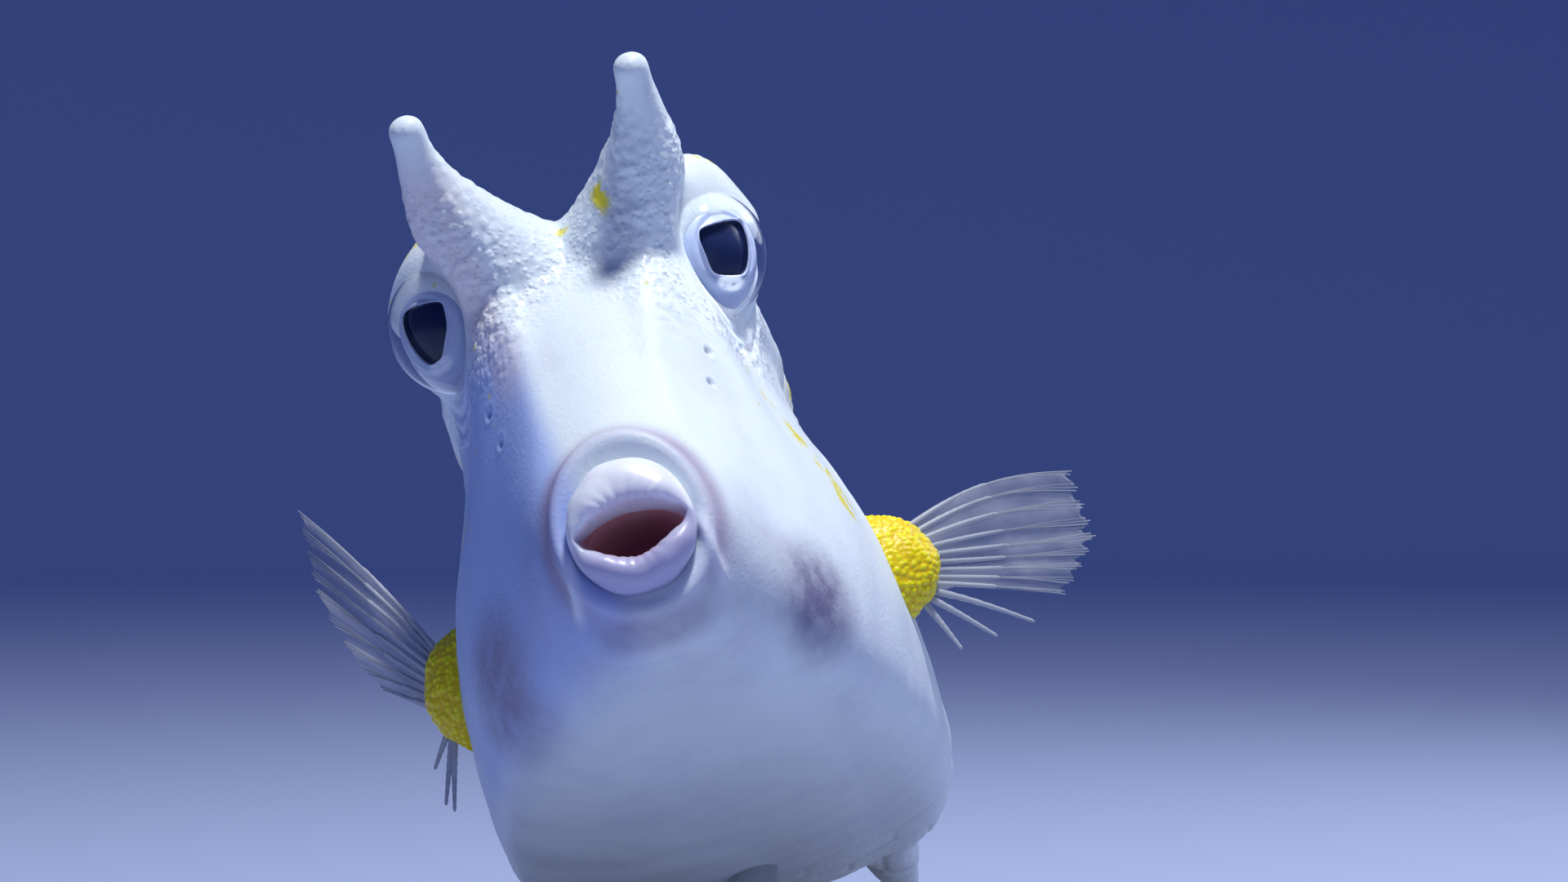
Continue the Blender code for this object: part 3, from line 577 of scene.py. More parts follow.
def piece_from(name, points, faces, materials, nodes, marks=None, kinds=None, fish=True):
    """A visible piece: its mesh on the stand, its materials, and the solids that it stands for."""
    mesh = plain_mesh(name, posed(points) if fish else points, faces)
    if fish:
        mark(mesh, "fish_place", points)
    for label, values in (marks or {}).items():
        mark(mesh, label, values)
    for material in materials:
        mesh.materials.append(material)
    if kinds is not None:
        mesh.polygons.foreach_set("material_index", np.asarray(kinds, np.int32))
    mesh.shade_smooth()
    piece = bpy.data.objects.new(name, mesh)
    bpy.context.scene.collection.objects.link(piece)
    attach(piece, "root")
    if nodes:
        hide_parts(*nodes)
    return piece


def ring_cap(first, columns):
    """Quads across a ring of points, from the number of its first point."""
    half = np.arange(columns // 2 - 1)
    far = first + columns - 1 - half
    return np.stack([first + half, first + half + 1, far - 1, far], 1)


def capped_faces(rows, columns):
    """Quads of a wrapped grid of points, and of a cap on each of its two ends."""
    caps = ring_cap(0, columns)[:, ::-1], ring_cap((rows - 1) * columns, columns)
    return np.concatenate([grid_faces(rows, columns), *caps])


def stacked(parts):
    """The points and faces of several meshes as one."""
    shifts = np.cumsum([0] + [len(points) for points, _ in parts[:-1]])
    faces = np.concatenate([faces + shift for (_, faces), shift in zip(parts, shifts)])
    return np.concatenate([points for points, _ in parts]), faces


def facing_out(points, faces):
    """The same faces, turned over if the closed mesh they make is inside out."""
    first, second, third, fourth = (points[faces[:, corner]] for corner in range(4))
    near_half = np.einsum("ij,ij->", first, np.cross(second, third))
    far_half = np.einsum("ij,ij->", first, np.cross(third, fourth))
    return faces if near_half + far_half > 0 else faces[:, ::-1]


# Sculpted body

def closed_loft(rings):
    """Points and quads over rings of equal count, with a point drawn in at each end."""
    rings = np.asarray(rings, float)
    rows, columns = rings.shape[:2]
    ends = [np.repeat(rings[row].mean(axis=0)[None], columns, axis=0) for row in (0, -1)]
    tight = [rings[0] * 0.02 + ends[0] * 0.98, rings[-1] * 0.02 + ends[1] * 0.98]
    full = np.concatenate([tight[:1], rings, tight[1:]])
    points = full.reshape(-1, 3)
    return points, facing_out(points, capped_faces(rows + 2, columns))


def body_loft():
    columns = 240
    places = AROUND * np.arange(columns) / columns
    mouth = np.array([oval_ring(*row) for row in MOUTH_RINGS] + [oval_ring(*FOLD_OUTER)])
    rows = []
    steps = 5
    for row in range(len(mouth) - 1):
        four = [mouth[min(max(row + step, 0), len(mouth) - 1)] for step in (-1, 0, 1, 2)]
        for step in range(steps):
            rows.append(catmull(*four, step / steps))
    front = along_ring(np.array(rows), places)
    distances = np.concatenate([np.arange(0.004, 0.30, 0.004), np.linspace(0.30, STALK_END, 100)])
    return closed_loft(np.concatenate([front, shell_grid(distances, places)]))


def mirrored(point, side):
    """A point given for the left, on the side that is asked for: 1 is left and -1 is right."""
    return np.array([point[0] * side, point[1], point[2]])


def square_to(axis):
    """Two directions square to an axis and to each other."""
    turn = Vector(axis).normalized().to_track_quat("Z", "X")
    return np.array(turn @ Vector((1, 0, 0))), np.array(turn @ Vector((0, 1, 0)))


def spokes_round(axis, count):
    """Directions square to an axis, evenly all round it."""
    first, second = square_to(axis)
    turns = np.linspace(0, 2 * np.pi, count, endpoint=False)
    return np.cos(turns)[:, None] * first + np.sin(turns)[:, None] * second


def smooth_radius(radii, shares):
    """The radius of a horn at shares of its length, rounded between the given ones."""
    marks = np.array([row[0] for row in radii])
    sizes = np.array([row[1] for row in radii])
    total = np.zeros_like(shares)
    for offset, weight in ((-0.05, 0.25), (0.0, 0.5), (0.05, 0.25)):
        total += weight * np.interp(shares + offset, marks, sizes)
    return total


def horn_loft(root, tip, radii, side):
    """A horn from a little inside its root to its round tip; its flare leans inwards."""
    root, tip = mirrored(root, side), mirrored(tip, side)
    axis = tip - root
    neck, knob = radii[-3][1], radii[-1][0]
    rounding = knob + (1 - knob) * np.sin(np.linspace(0.1, 1.5, 12))
    shares = np.concatenate([np.linspace(HORN_START, knob, 60), rounding])
    radius = smooth_radius(radii, np.minimum(shares, knob))
    past = np.clip((shares - knob) / (1 - knob), 0, 1)
    radius = radius * np.sqrt(1 - past**2)
    leaning = 1.0 - HORN_LEAN_LOSS * np.minimum(shares, 1.0)
    inward = leaning * np.maximum(0.0, radius - neck) * (past == 0)
    middles = root + axis * shares[:, None] - np.stack([side * inward, 0 * inward, 0 * inward], 1)
    return closed_loft(middles[:, None] + spokes_round(axis, 64)[None] * radius[:, None, None])


def eye_axis(side):
    """The way the rim of an eye's socket faces: out to its side and forwards."""
    axis = np.array([side * math.cos(EYE_FORWARD), -math.sin(EYE_FORWARD), 0.06])
    return axis / np.linalg.norm(axis)


def lid_loft(side):
    """A plump ring of skin round an eye, fuller above as a brow and slighter below."""
    axis = eye_axis(side)
    centre = mirrored(EYE_CENTRE, side)
    spokes = spokes_round(axis, 96)
    up, back = spokes[:, 2], spokes[:, 1]
    above, below, behind = np.clip(up, 0, 1), np.clip(-up, 0, 1), np.clip(back, 0, 1)
    thick = LID_THICK * (1.0 - 0.22 * below - 0.10 * behind)
    outward = LID_RING + 0.0010 * above - 0.0020 * below + 0.0030 * behind * (1 - below)
    height = LID_HEIGHT + 0.0090 * above - 0.0080 * behind * (1 - above) - 0.0030 * below
    around = np.linspace(0, 2 * np.pi, 24, endpoint=False)
    points = []
    for spoke, size, out, lift in zip(spokes, thick, outward, height):
        middle = centre + axis * lift + spoke * out
        points.append(middle + size * (np.cos(around)[:, None] * spoke + np.sin(around)[:, None] * axis))
    return hoop(points)


def hoop(rings):
    """Points and quads of a closed hoop, from rings of equal count all the way round."""
    rings = np.asarray(rings)
    rows, columns = rings.shape[:2]
    row, column = np.arange(rows)[:, None], np.arange(columns)[None, :]
    below, beside = (row + 1) % rows * columns, (column + 1) % columns
    row = row * columns
    corners = (row + column, row + beside, below + beside, below + column)
    points = rings.reshape(-1, 3)
    return points, facing_out(points, np.stack(corners, -1).reshape(-1, 4))


def gaze_axis(side):
    """The way the eye looks: forwards, out to its side and a little down."""
    axis = np.array([
        side * math.cos(GAZE_FORWARD) * math.cos(GAZE_DOWN),
        -math.sin(GAZE_FORWARD) * math.cos(GAZE_DOWN),
        -math.sin(GAZE_DOWN),
    ])
    return axis / np.linalg.norm(axis)


def gaze_frame(side):
    """The gaze of an eye, and the directions up and towards the nose that are square to it."""
    axis = gaze_axis(side)
    upward = np.array([0, 0, 1.0]) - axis * axis[2]
    upward /= np.linalg.norm(upward)
    return axis, upward, np.cross(axis, upward) * side


def lid_cover(side):
    """The smooth fold over the top and the inner side of an eye, thinning out onto the eyeball."""
    axis, upward, beside = gaze_frame(side)
    centre = mirrored(EYE_CENTRE, side)
    turns = np.linspace(0, 2 * np.pi, 120, endpoint=False)
    table = np.array(LID_COVER)

    def softened_column(column):
        angles = [np.degrees(turns) + shift for shift in (-8, 0, 8)]
        return sum(np.interp(angle, table[:, 0], table[:, column], period=360) for angle in angles) / 3

    edge, slope, reach = (softened_column(column) for column in (1, 2, 3 if side > 0 else 4))
    rings = []
    for turn, start, run, far in zip(turns, np.radians(edge), np.radians(slope), reach):
        spoke = math.sin(turn) * beside + math.cos(turn) * upward
        angle = (start + (LID_BACK - start) * np.linspace(0, 1, 30))[:, None]
        way = np.cos(angle) * axis + np.sin(angle) * spoke
        radius = EYEBALL_RADIUS + (far - EYEBALL_RADIUS) * smooth_step(-0.02, run, angle - start)
        rings.append(np.concatenate([centre + way * radius, centre + way[::-1] * (EYEBALL_RADIUS - 0.006)]))
    return hoop(rings)


def socket_fill(side):
    """Flesh that joins the lid to the head all round, behind the eye."""
    axis = eye_axis(side)
    centre = mirrored(EYE_CENTRE, side)
    spokes = spokes_round(axis, 48)
    return closed_loft([centre + axis * height + spokes * radius for height, radius in SOCKET_PROFILE])


def fused(parts):
    """One skin over several closed meshes, as even small quads, in the fish's own frame."""
    points, faces = stacked(parts)
    lump = bpy.data.objects.new("lump", plain_mesh("lump", points * STANDARD_LENGTH, faces))
    bpy.context.scene.collection.objects.link(lump)
    modifier = lump.modifiers.new("skin_over", "REMESH")
    modifier.mode = "VOXEL"
    modifier.voxel_size = VOXEL
    modifier.adaptivity = 0.0
    graph = bpy.context.evaluated_depsgraph_get()
    skin = bpy.data.meshes.new_from_object(lump.evaluated_get(graph))
    bpy.data.objects.remove(lump, do_unlink=True)
    points, faces = mesh_arrays(skin)
    bpy.data.meshes.remove(skin)
    return points / STANDARD_LENGTH, facing_out(points, faces)


def along_axis(points, root, tip, side):
    """Share of the way along a horn's axis, and distance from it, of each point."""
    root, tip = mirrored(root, side), mirrored(tip, side)
    axis = tip - root
    share = (points - root) @ axis / (axis @ axis)
    return share, np.linalg.norm(points - root - share[:, None] * axis, axis=1)


def eye_place(points, side):
    """Height along an eye's axis, distance from it, and how far up round it, of each point."""
    axis = eye_axis(side)
    away = points - mirrored(EYE_CENTRE, side)
    height = away @ axis
    flat = away - height[:, None] * axis
    radius = np.linalg.norm(flat, axis=1)
    return height, radius, flat[:, 2] / np.maximum(radius, 1e-9)


def orbit_opening(points, side):
    """The move that clears the root of the horn from in front of an eye's inner side."""
    forward = np.array([0.0, -0.93, -0.366])
    middle = mirrored(EYE_CENTRE, side) + EYEBALL_RADIUS * gaze_axis(side) + np.array([0, 0, 0.012])
    away = points - middle
    ahead = away @ forward
    flat = away - ahead[:, None] * forward
    inward = -side * flat[:, 0]
    level = np.hypot(inward / ORBIT_WIDE, np.linalg.norm(flat[:, 1:], axis=1) / ORBIT_HIGH)
    near = smooth_step(-0.030, 0.000, ahead) * smooth_step(-0.006, 0.006, inward) * (level < 1.6)
    push = np.clip(1.0 - level, 0, 1) * ORBIT_WIDE * near
    return np.stack([-side * push, 0 * push, 0 * push], 1)


def joined_skin():
    """One skin over body, horns and lids, smoothed where they meet.

    With it come a share that says how rough the brows are, and one that is nought on the lids.
    """
    parts = [body_loft()]
    for side in (1, -1):
        parts.append(horn_loft(BROW_HORN_ROOT, BROW_HORN_TIP, BROW_HORN_RADII, side))
        parts.append(horn_loft(BELLY_HORN_ROOT, BELLY_HORN_TIP, BELLY_HORN_RADII, side))
    for side in (1, -1):
        parts = [(points + orbit_opening(points, side), faces) for points, faces in parts]
    for side in (1, -1):
        parts += [lid_loft(side), socket_fill(side), lid_cover(side)]
    points, faces = fused(parts)

    neck = bell(points[:, 2] - 0.160, 0.062) * smooth_step(0.10, 0.17, points[:, 1])
    neck = neck * smooth_step(0.62, 0.34, points[:, 1]) * smooth_step(0.225, 0.195, points[:, 2])
    tuck = bell(points[:, 2] + 0.050, 0.045) * bell(points[:, 1] - 0.24, 0.14)
    outwards = np.sign(points[:, 0]) * smooth_step(0.03, 0.08, np.abs(points[:, 0]))
    points[:, 0] -= outwards * (0.014 * neck + 0.008 * tuck)
    blend = np.full(len(points), 0.35)
    fold = bell(off_lips(points) - 0.055, 0.010) * smooth_step(0.035, 0.012, points[:, 1])
    blend = np.maximum(blend, 0.9 * fold * (points[:, 1] < 0.03))
    brow, off_lids = np.zeros(len(points)), np.ones(len(points))
    for side in (1, -1):
        low_share, low_radius = along_axis(points, BELLY_HORN_ROOT, BELLY_HORN_TIP, side)
        low_zone = bell(low_share - 0.10, 0.25) * smooth_step(0.06, 0.03, low_radius)
        share, radius = along_axis(points, BROW_HORN_ROOT, BROW_HORN_TIP, side)
        root_zone = bell(share - 0.12, 0.28) * smooth_step(0.11, 0.06, radius)
        height, ring, _ = eye_place(points, side)
        orbit = bell(ring - 0.066, 0.014) * smooth_step(-0.05, 0.0, height)
        for place in (root_zone, orbit, low_zone):
            blend = np.maximum(blend, place)
        off_eye = np.linalg.norm(points - mirrored(EYE_CENTRE, side), axis=1)
        off_lids = np.minimum(off_lids, smooth_step(0.063, 0.074, off_eye))
        for place in (root_zone * smooth_step(0.48, 0.12, share), bell(ring - 0.078, 0.020)):
            brow = np.maximum(brow, place)
    rounds = int(round(4 * (0.00020 / VOXEL) ** 2)) + 2
    return relaxed(points, faces, rounds * 4, blend), faces, brow * off_lids, off_lids


def plate_lift(points, marks):
    """How far the six-sided plates of the shell stand out at each point, and how plated it is there."""
    distance = points[:, 1]
    row = distance / PLATE_PITCH
    around = share_around(points) * PLATES_AROUND
    edge = np.full(len(points), 9.0)
    for first in (np.floor(row), np.floor(row) + 1, np.floor(row) - 1):
        shift = 0.5 * (first % 2)
        column = np.round(around - shift)
        down = np.abs(row - first) * 3
        over = np.abs(around - shift - column) * 2
        edge = np.minimum(edge, np.maximum(over, (down + over) / 2))
    belly = smooth_step(0.13, 0.00, points[:, 2]) * smooth_step(0.66, 0.42, distance)
    plated = smooth_step(0.24, 0.36, distance) * smooth_step(0.86, 0.78, distance) * (1 - 0.93 * belly)
    marks["plate_edge"] = smooth_step(0.88, 1.0, edge) * plated
    inside = 1 - smooth_step(0.86, 1.0, edge)
    domed = 1 - np.minimum(edge, 1.0) ** 2
    return plated * (PLATE_HEIGHT * inside + PLATE_DOME * domed), plated


def side_lift(points, side, lift, marks):
    """The lift with the folds below an eye, the two nostril pits and the gill slit of one side added."""
    height, ring, up = eye_place(points, side)
    near = smooth_step(0.105, 0.070, ring) * smooth_step(-0.035, 0.0, height)
    fold = np.sin((ring - 0.050) * 2 * np.pi / EYE_FOLD_PITCH + 1.6 * up) * bell(ring - 0.066, 0.020)
    outer = smooth_step(0.075, 0.100, np.abs(points[:, 0]))
    lift = lift + EYE_FOLD_HEIGHT * fold * near * (0.10 + 0.90 * smooth_step(0.3, -0.5, up) * outer)
    for pit in NOSTRILS:
        away = np.linalg.norm(points - on_side(*pit, side), axis=1)
        lift = lift - PIT_DEPTH * bell(away, 0.0026) + PIT_RIM_HEIGHT * bell(away - 0.0060, 0.0022)
        marks["pit"] = np.maximum(marks.get("pit", 0), 0.5 * bell(away, 0.0024))
    gill = points - (on_side(*GILL, side) + np.array([0, 0, -GILL_DROP]))
    slit = bell(np.linalg.norm(gill / np.array([0.020, 0.0040, 0.034]), axis=1), 1.0)
    lip = bell(np.linalg.norm(gill / np.array([0.024, 0.0100, 0.042]), axis=1) - 1.0, 0.35)
    marks["slit"] = np.maximum(marks.get("slit", 0), slit)
    return lift - SLIT_DEPTH * slit + SLIT_LIP_HEIGHT * lip


def mouth_lift(points, lift, marks):
    """The lift with the fold round the lips, the folds at its corners and the chin's wrinkles added."""
    distance = points[:, 1]
    off = off_lips(points)
    near = smooth_step(0.035, 0.012, distance)
    below = smooth_step(-0.02, -0.05, points[:, 2])
    lift = lift - LIP_GROOVE_DEPTH * (bell(off - 0.0600, 0.0042) * near) * (1 - 0.7 * below)
    # Painted shade in the groove round the lips
    marks["fold_groove_shade"] = bell(off - 0.0595, 0.0062) * near * (1 - 0.65 * below)
    corner = bell(np.abs(points[:, 0]) - 0.042 + 0.10 * (points[:, 2] + 0.02), 0.0035)
    corner = corner * smooth_step(-0.052, -0.036, points[:, 2]) * smooth_step(0.004, -0.012, points[:, 2])
    corner = corner * smooth_step(0.02, 0.006, distance)
    marks["corner_fold"] = corner
    marks["fold_band"] = bell(off - 0.0520, 0.0055) * smooth_step(0.030, 0.015, distance)
    chin = bell(points[:, 0], 0.05) * bell(distance - 0.03, 0.02) * (points[:, 2] < 0)
    lift = lift + CORNER_FOLD_HEIGHT * corner
    return lift + CHIN_WRINKLE_HEIGHT * np.sin(distance * 2 * np.pi / CHIN_WRINKLE_PITCH) * chin


def sculpt():
    """The whole skin with its folds, plates, granules and pits, and the marks its materials read."""
    points, faces, brow, off_lids = joined_skin()
    marks = {"brow_rough": brow}
    normals = corner_normals(points, faces)
    distance = points[:, 1]
    lift, plated = plate_lift(points, marks)

    grain = pebbles(points * np.array([1.0, 1.0, 0.75]), GRANULE_SIZE, 5)
    wrinkle = 1 - np.abs(waves(points * np.array([1.0, 1.0, 0.6]), WRINKLE_SIZE, 21))
    granule = np.clip(1 - (grain / 0.60) ** 2, 0, 1)
    front = bell(np.abs(points[:, 0]) - 0.056, 0.018) * bell(distance - 0.085, 0.035)
    front = front * smooth_step(0.13, 0.19, points[:, 2]) * off_lids
    rough = np.clip(0.05 + 0.75 * brow + 0.9 * front + 0.30 * plated, 0, 1)
    off_mouth = smooth_step(0.02, 0.06, distance)
    lift = lift + GRANULE_HEIGHT * granule * rough * off_mouth
    lift = lift + WRINKLE_HEIGHT * wrinkle * np.maximum(brow * 0.5, front) * off_mouth
    lift = lift + SWELL_HEIGHT * waves(points, SWELL_SIZE, 3) * smooth_step(0.10, 0.24, distance)
    marks["granule"] = granule * rough

    saddle = bell(points[:, 0], 0.020) * bell(distance - 0.150, 0.060) * (points[:, 2] > 0.15)
    lift = lift - SADDLE_DEPTH * saddle
    for side in (1, -1):
        lift = side_lift(points, side, lift, marks)
    lift = mouth_lift(points, lift, marks)
    points = points + normals * lift[:, None]
    hollow = np.hypot(points[:, 0] / 0.034, points[:, 2] / 0.024)
    marks["mouth_inside"] = smooth_step(1.05, 0.95, hollow) * (distance > 0.003) * (distance < 0.075)
    return points, faces, marks


def carved(points, faces, keep):
    """The faces of a mesh whose every corner is kept, with their points, and those points' numbers."""
    chosen = faces[keep]
    used = np.unique(chosen)
    renumber = np.full(len(points), -1)
    renumber[used] = np.arange(len(used))
    return points[used], renumber[chosen], used


def make_skin_and_horns(finishes):
    points, faces, marks = sculpt()
    owner = np.zeros(len(faces), int)
    middles = points[faces].mean(axis=1)
    horns = []
    for kind, root, tip, seat, reach in (
        ("horn", BROW_HORN_ROOT, BROW_HORN_TIP, BROW_HORN_SEAT, 0.045),
        ("belly_horn", BELLY_HORN_ROOT, BELLY_HORN_TIP, BELLY_HORN_SEAT, 0.030),
    ):
        for side, word in ((1, "left"), (-1, "right")):
            share, radius = along_axis(middles, root, tip, side)
            horns.append(f"{kind}_{word}")
            owner[(share > seat) & (share < 1.2) & (radius < reach)] = len(horns)
    normals = corner_normals(points, faces)
    names = ["skin"] + horns
    for number, name in enumerate(names):
        own_points, own_faces, used = carved(points, faces, owner == number)
        own_marks = {label: values[used] for label, values in marks.items()}
        if number == 0:
            nodes = ("head", "trunk_front", "trunk_rear", "tail_stalk")
        else:
            nodes = (name,)
        piece = piece_from(name, own_points, own_faces, [finishes["skin"]], nodes, own_marks)
        turned = (normals[used] @ np.array(POSE)[:3, :3].T) / STANDARD_LENGTH
        piece.data.normals_split_custom_set_from_vertices([tuple(normal) for normal in turned])


# Lips

def opening(turn):
    """Size of the open mouth towards a turn from straight down: an arch above, a fuller bow below."""
    across, up = np.sin(turn), -np.cos(turn)
    high = np.where(up > 0, MOUTH_OPEN_UP, MOUTH_OPEN_DOWN)
    power = np.where(up > 0, 1.50, 1.32)
    return ((np.abs(across) / MOUTH_OPEN_WIDE) ** power + (np.abs(up) / high) ** power) ** (-1 / power)


def make_lips(finishes):
    """Two plump lips round the mouth, the upper one fuller, running together at the corners."""
    turns = round_turns(LIP_PLACES)
    across, up = np.sin(turns), -np.cos(turns)
    at_corner = np.abs(across) - 1.0
    inner = opening(turns)
    outer = 1 / np.sqrt((across / LIP_WIDE) ** 2 + (up / np.where(up > 0, LIP_HIGH, LIP_LOW)) ** 2)
    front = LIP_FRONT - 0.0050 * smooth_step(-0.3, 0.5, up) + 0.0045 * bell(at_corner, 0.12)
    half = (outer - inner) / 2
    rows, along = [], []
    for share in np.linspace(0, 1, 14)[:-1]:
        end = 1 / np.sqrt((across / 0.0295) ** 2 + (up / 0.0175) ** 2)
        radius = end + (inner - end) * smooth_step(0, 1, share)
        rows.append((radius, LIP_INNER_END + (LIP_WIDEST - LIP_INNER_END) * share))
        along.append(0.30 * share)
    for turn in np.linspace(0, np.pi, 40):
        across_lip = ((1 - np.cos(turn)) / 2) ** (1 - 0.42 * smooth_step(-0.2, 0.5, up))
        lift = (2 * np.sqrt(np.clip(across_lip * (1 - across_lip), 0, 1))) ** 0.85
        rows.append((inner + half * (1 - np.cos(turn)), LIP_WIDEST + (front - LIP_WIDEST) * lift))
        along.append(0.30 + 0.55 * turn / np.pi)
    for share in np.linspace(0, 1, 9)[1:]:
        rows.append((outer * (1 - 0.03 * share), LIP_WIDEST + (LIP_OUTER_END - LIP_WIDEST) * share))
        along.append(0.85 + 0.15 * share)
    points = np.array([
        np.stack([across * radius, np.broadcast_to(depth, turns.shape), up * radius - MOUTH_DROP], 1)
        for radius, depth in rows
    ])
    flat = points.reshape(-1, 3)
    spread = np.repeat(np.array(along), LIP_PLACES)
    faces = grid_faces(len(rows), LIP_PLACES)
    normals = corner_normals(flat, faces)
    if normals[np.argmin(flat[:, 1]), 1] > 0:
        faces, normals = faces[:, ::-1], -normals
    crease = np.tile(np.abs(np.sin(turns * 11 + 1.1 * np.sin(turns * 3))) ** 3, len(rows))
    dent = 0.00045 * crease * bell(spread - 0.42, 0.13)
    seam = 0.0010 * np.tile(bell(at_corner, 0.03), len(rows)) * bell(spread - 0.50, 0.22)
    flat = flat + normals * (0.0005 * waves(flat, 0.026, 11) - dent - seam)[:, None]
    # lip_edge_shade marks the painted shade where the lips turn in towards the mouth
    marks = {"mouth_inside": smooth_step(0.33, 0.20, spread), "lip_edge_shade": bell(spread - 0.36, 0.09)}
    piece_from("lips", flat, faces, [finishes["lip"]], ("lips",), marks)


# Eyes

def pupil_outline(word, turns):
    """Size of a pupil at turns from straight up, round its corners and softened between them."""
    corners = np.array(PUPILS[word])
    for cut in (0.17, 0.22, 0.25):
        following = np.roll(corners, -1, axis=0)
        pair = [(1 - cut) * corners + cut * following, cut * corners + (1 - cut) * following]
        corners = np.stack(pair, 1).reshape(-1, 2)
    angle = np.arctan2(corners[:, 0], corners[:, 1]) % (2 * np.pi)
    order = np.argsort(angle)
    size = np.linalg.norm(corners, axis=1)
    return np.interp(turns, angle[order], size[order], period=2 * np.pi)


def make_eye(side, word, finishes):
    """A milky eyeball with a sunken pupil, soft rings of folds and a painted highlight below the pupil, and a
    clear dome over its front.
    """
    axis, upward, beside = gaze_frame(side)
    centre = mirrored(EYE_CENTRE, side)
    turns = round_turns(EYE_SPOKES)
    spokes = np.sin(turns)[:, None] * beside + np.cos(turns)[:, None] * upward
    outline = pupil_outline(word, turns)
    rows, deep, spread = [], [], []

    def add(radius, sink, pupil):
        """A ring at a radius from the gaze, on the globe less a sink."""
        radius = np.broadcast_to(radius, turns.shape)
        height = np.sqrt(np.maximum(EYEBALL_RADIUS**2 - radius**2, 0)) - sink
        rows.append(centre + spokes * radius[:, None] + axis * height[:, None])
        deep.append(np.full(EYE_SPOKES, float(pupil)))
        spread.append(radius / EYEBALL_RADIUS)

    for share in np.linspace(0.02, 0.93, 14):
        add(outline * share, PUPIL_SINK, 1)
    for share, sink, dark in PUPIL_RIM:
        add(outline * share, sink, dark)
    start = outline * PUPIL_RIM[-1][0]
    for share in np.linspace(0.02, 1.0, 60):
        radius = start + (EYEBALL_RADIUS * 0.985 - start) * share
        limbus = radius - LIMBUS_RADIUS
        sink = -0.0005 * (1 - share) + 0.0013 * bell(limbus + 0.0045, 0.0022) - 0.0009 * bell(limbus, 0.0028)
        sink = sink + 0.0010 * bell(limbus - 0.0045, 0.0020)
        add(radius, sink, 0)
    for share in np.linspace(0.1, 1.0, 10):
        turn = 0.17 + share * (np.pi / 2 - 0.17)
        radius = EYEBALL_RADIUS * max(math.cos(turn - 0.17), 0.02)
        rows.append(centre + spokes * radius - axis * EYEBALL_RADIUS * 0.85 * math.sin(turn - 0.17))
        deep.append(np.zeros(EYE_SPOKES))
        spread.append(np.full(EYE_SPOKES, 1.1))
    points = np.array(rows).reshape(-1, 3)
    pupil = np.concatenate(deep)
    faces = facing_out(points - centre, capped_faces(len(rows), EYE_SPOKES))
    away = points - centre
    # Painted highlight: a bright fleck below the pupil, fainter in the right eye
    painted_gleam = zone_share(away @ beside, away @ upward, (-0.0030, -0.0232), (0.0110, 0.0052))
    painted_gleam = painted_gleam * (pupil < 0.5) * (away @ axis > 0) * (1.0 if side > 0 else 0.15)
    marks = {"pupil": pupil, "ring": np.concatenate(spread), "painted_gleam": painted_gleam}
    piece_from(f"eye_{word}", points, faces, [finishes["eyeball"]], (f"eye_{word}",), marks)

    middle = centre + axis * CORNEA_RISE
    rings = [
        [middle + radius * (axis * math.cos(angle) + spokes * math.sin(angle))
         for angle in np.linspace(0.02, CORNEA_OPEN, 44)]
        for radius in (CORNEA_RADIUS, CORNEA_RADIUS - CORNEA_THICK)
    ]
    points, faces = closed_loft(rings[0] + rings[1][::-1])
    dome = piece_from(f"cornea_{word}", points, faces, [finishes["cornea"]], ())
    dome.visible_shadow = False


# Fins

def fleshy_root(side, word, finishes):
    """The yellow root of a pectoral fin, covered in round granules."""
    rows, columns = 150, 220
    polar = (np.pi * (np.arange(rows) + 0.5) / rows)[:, None]
    turns = round_turns(columns)
    level = np.broadcast_to(np.cos(polar), (rows, columns))
    unit = np.stack([np.sin(polar) * np.cos(turns), np.sin(polar) * np.sin(turns), level], -1)
    radii = np.array(PECTORAL_ROOT_RADII[word])
    points = (unit * radii).reshape(-1, 3)
    normals = (unit / radii).reshape(-1, 3)
    normals /= np.linalg.norm(normals, axis=1, keepdims=True)
    grain = pebbles(points, 0.0046, 17 if side > 0 else 29)
    granule = np.clip(1 - (grain / 0.60) ** 2, 0, 1)
    points = points + normals * (0.0012 * granule - 0.0006 + 0.0008 * waves(points, 0.03, 8))[:, None]
    root = mirrored(PECTORAL_ROOT, side)
    points = points * np.array([side, 1, 1]) + root
    faces = facing_out(points - root, grid_faces(rows, columns))
    name = f"pectoral_base_{word}"
    piece_from(name, points, faces, [finishes["yellow_flesh"]], (name,), {"granule": granule})


def ray_tube(path, widths, facing, sides=8):
    """A flattened tapering tube along a path; facing is the direction in which it is thin."""
    along = np.gradient(path, axis=0)
    along /= np.linalg.norm(along, axis=1, keepdims=True)
    across = np.cross(along, facing)
    across /= np.linalg.norm(across, axis=1, keepdims=True)
    turns = round_turns(sides)
    widths = widths[:, None, None]
    wide = np.cos(turns)[None, :, None] * across[:, None] * widths
    thin = np.sin(turns)[None, :, None] * facing[None, None] * widths * 0.75
    return closed_loft(path[:, None] + wide + thin)


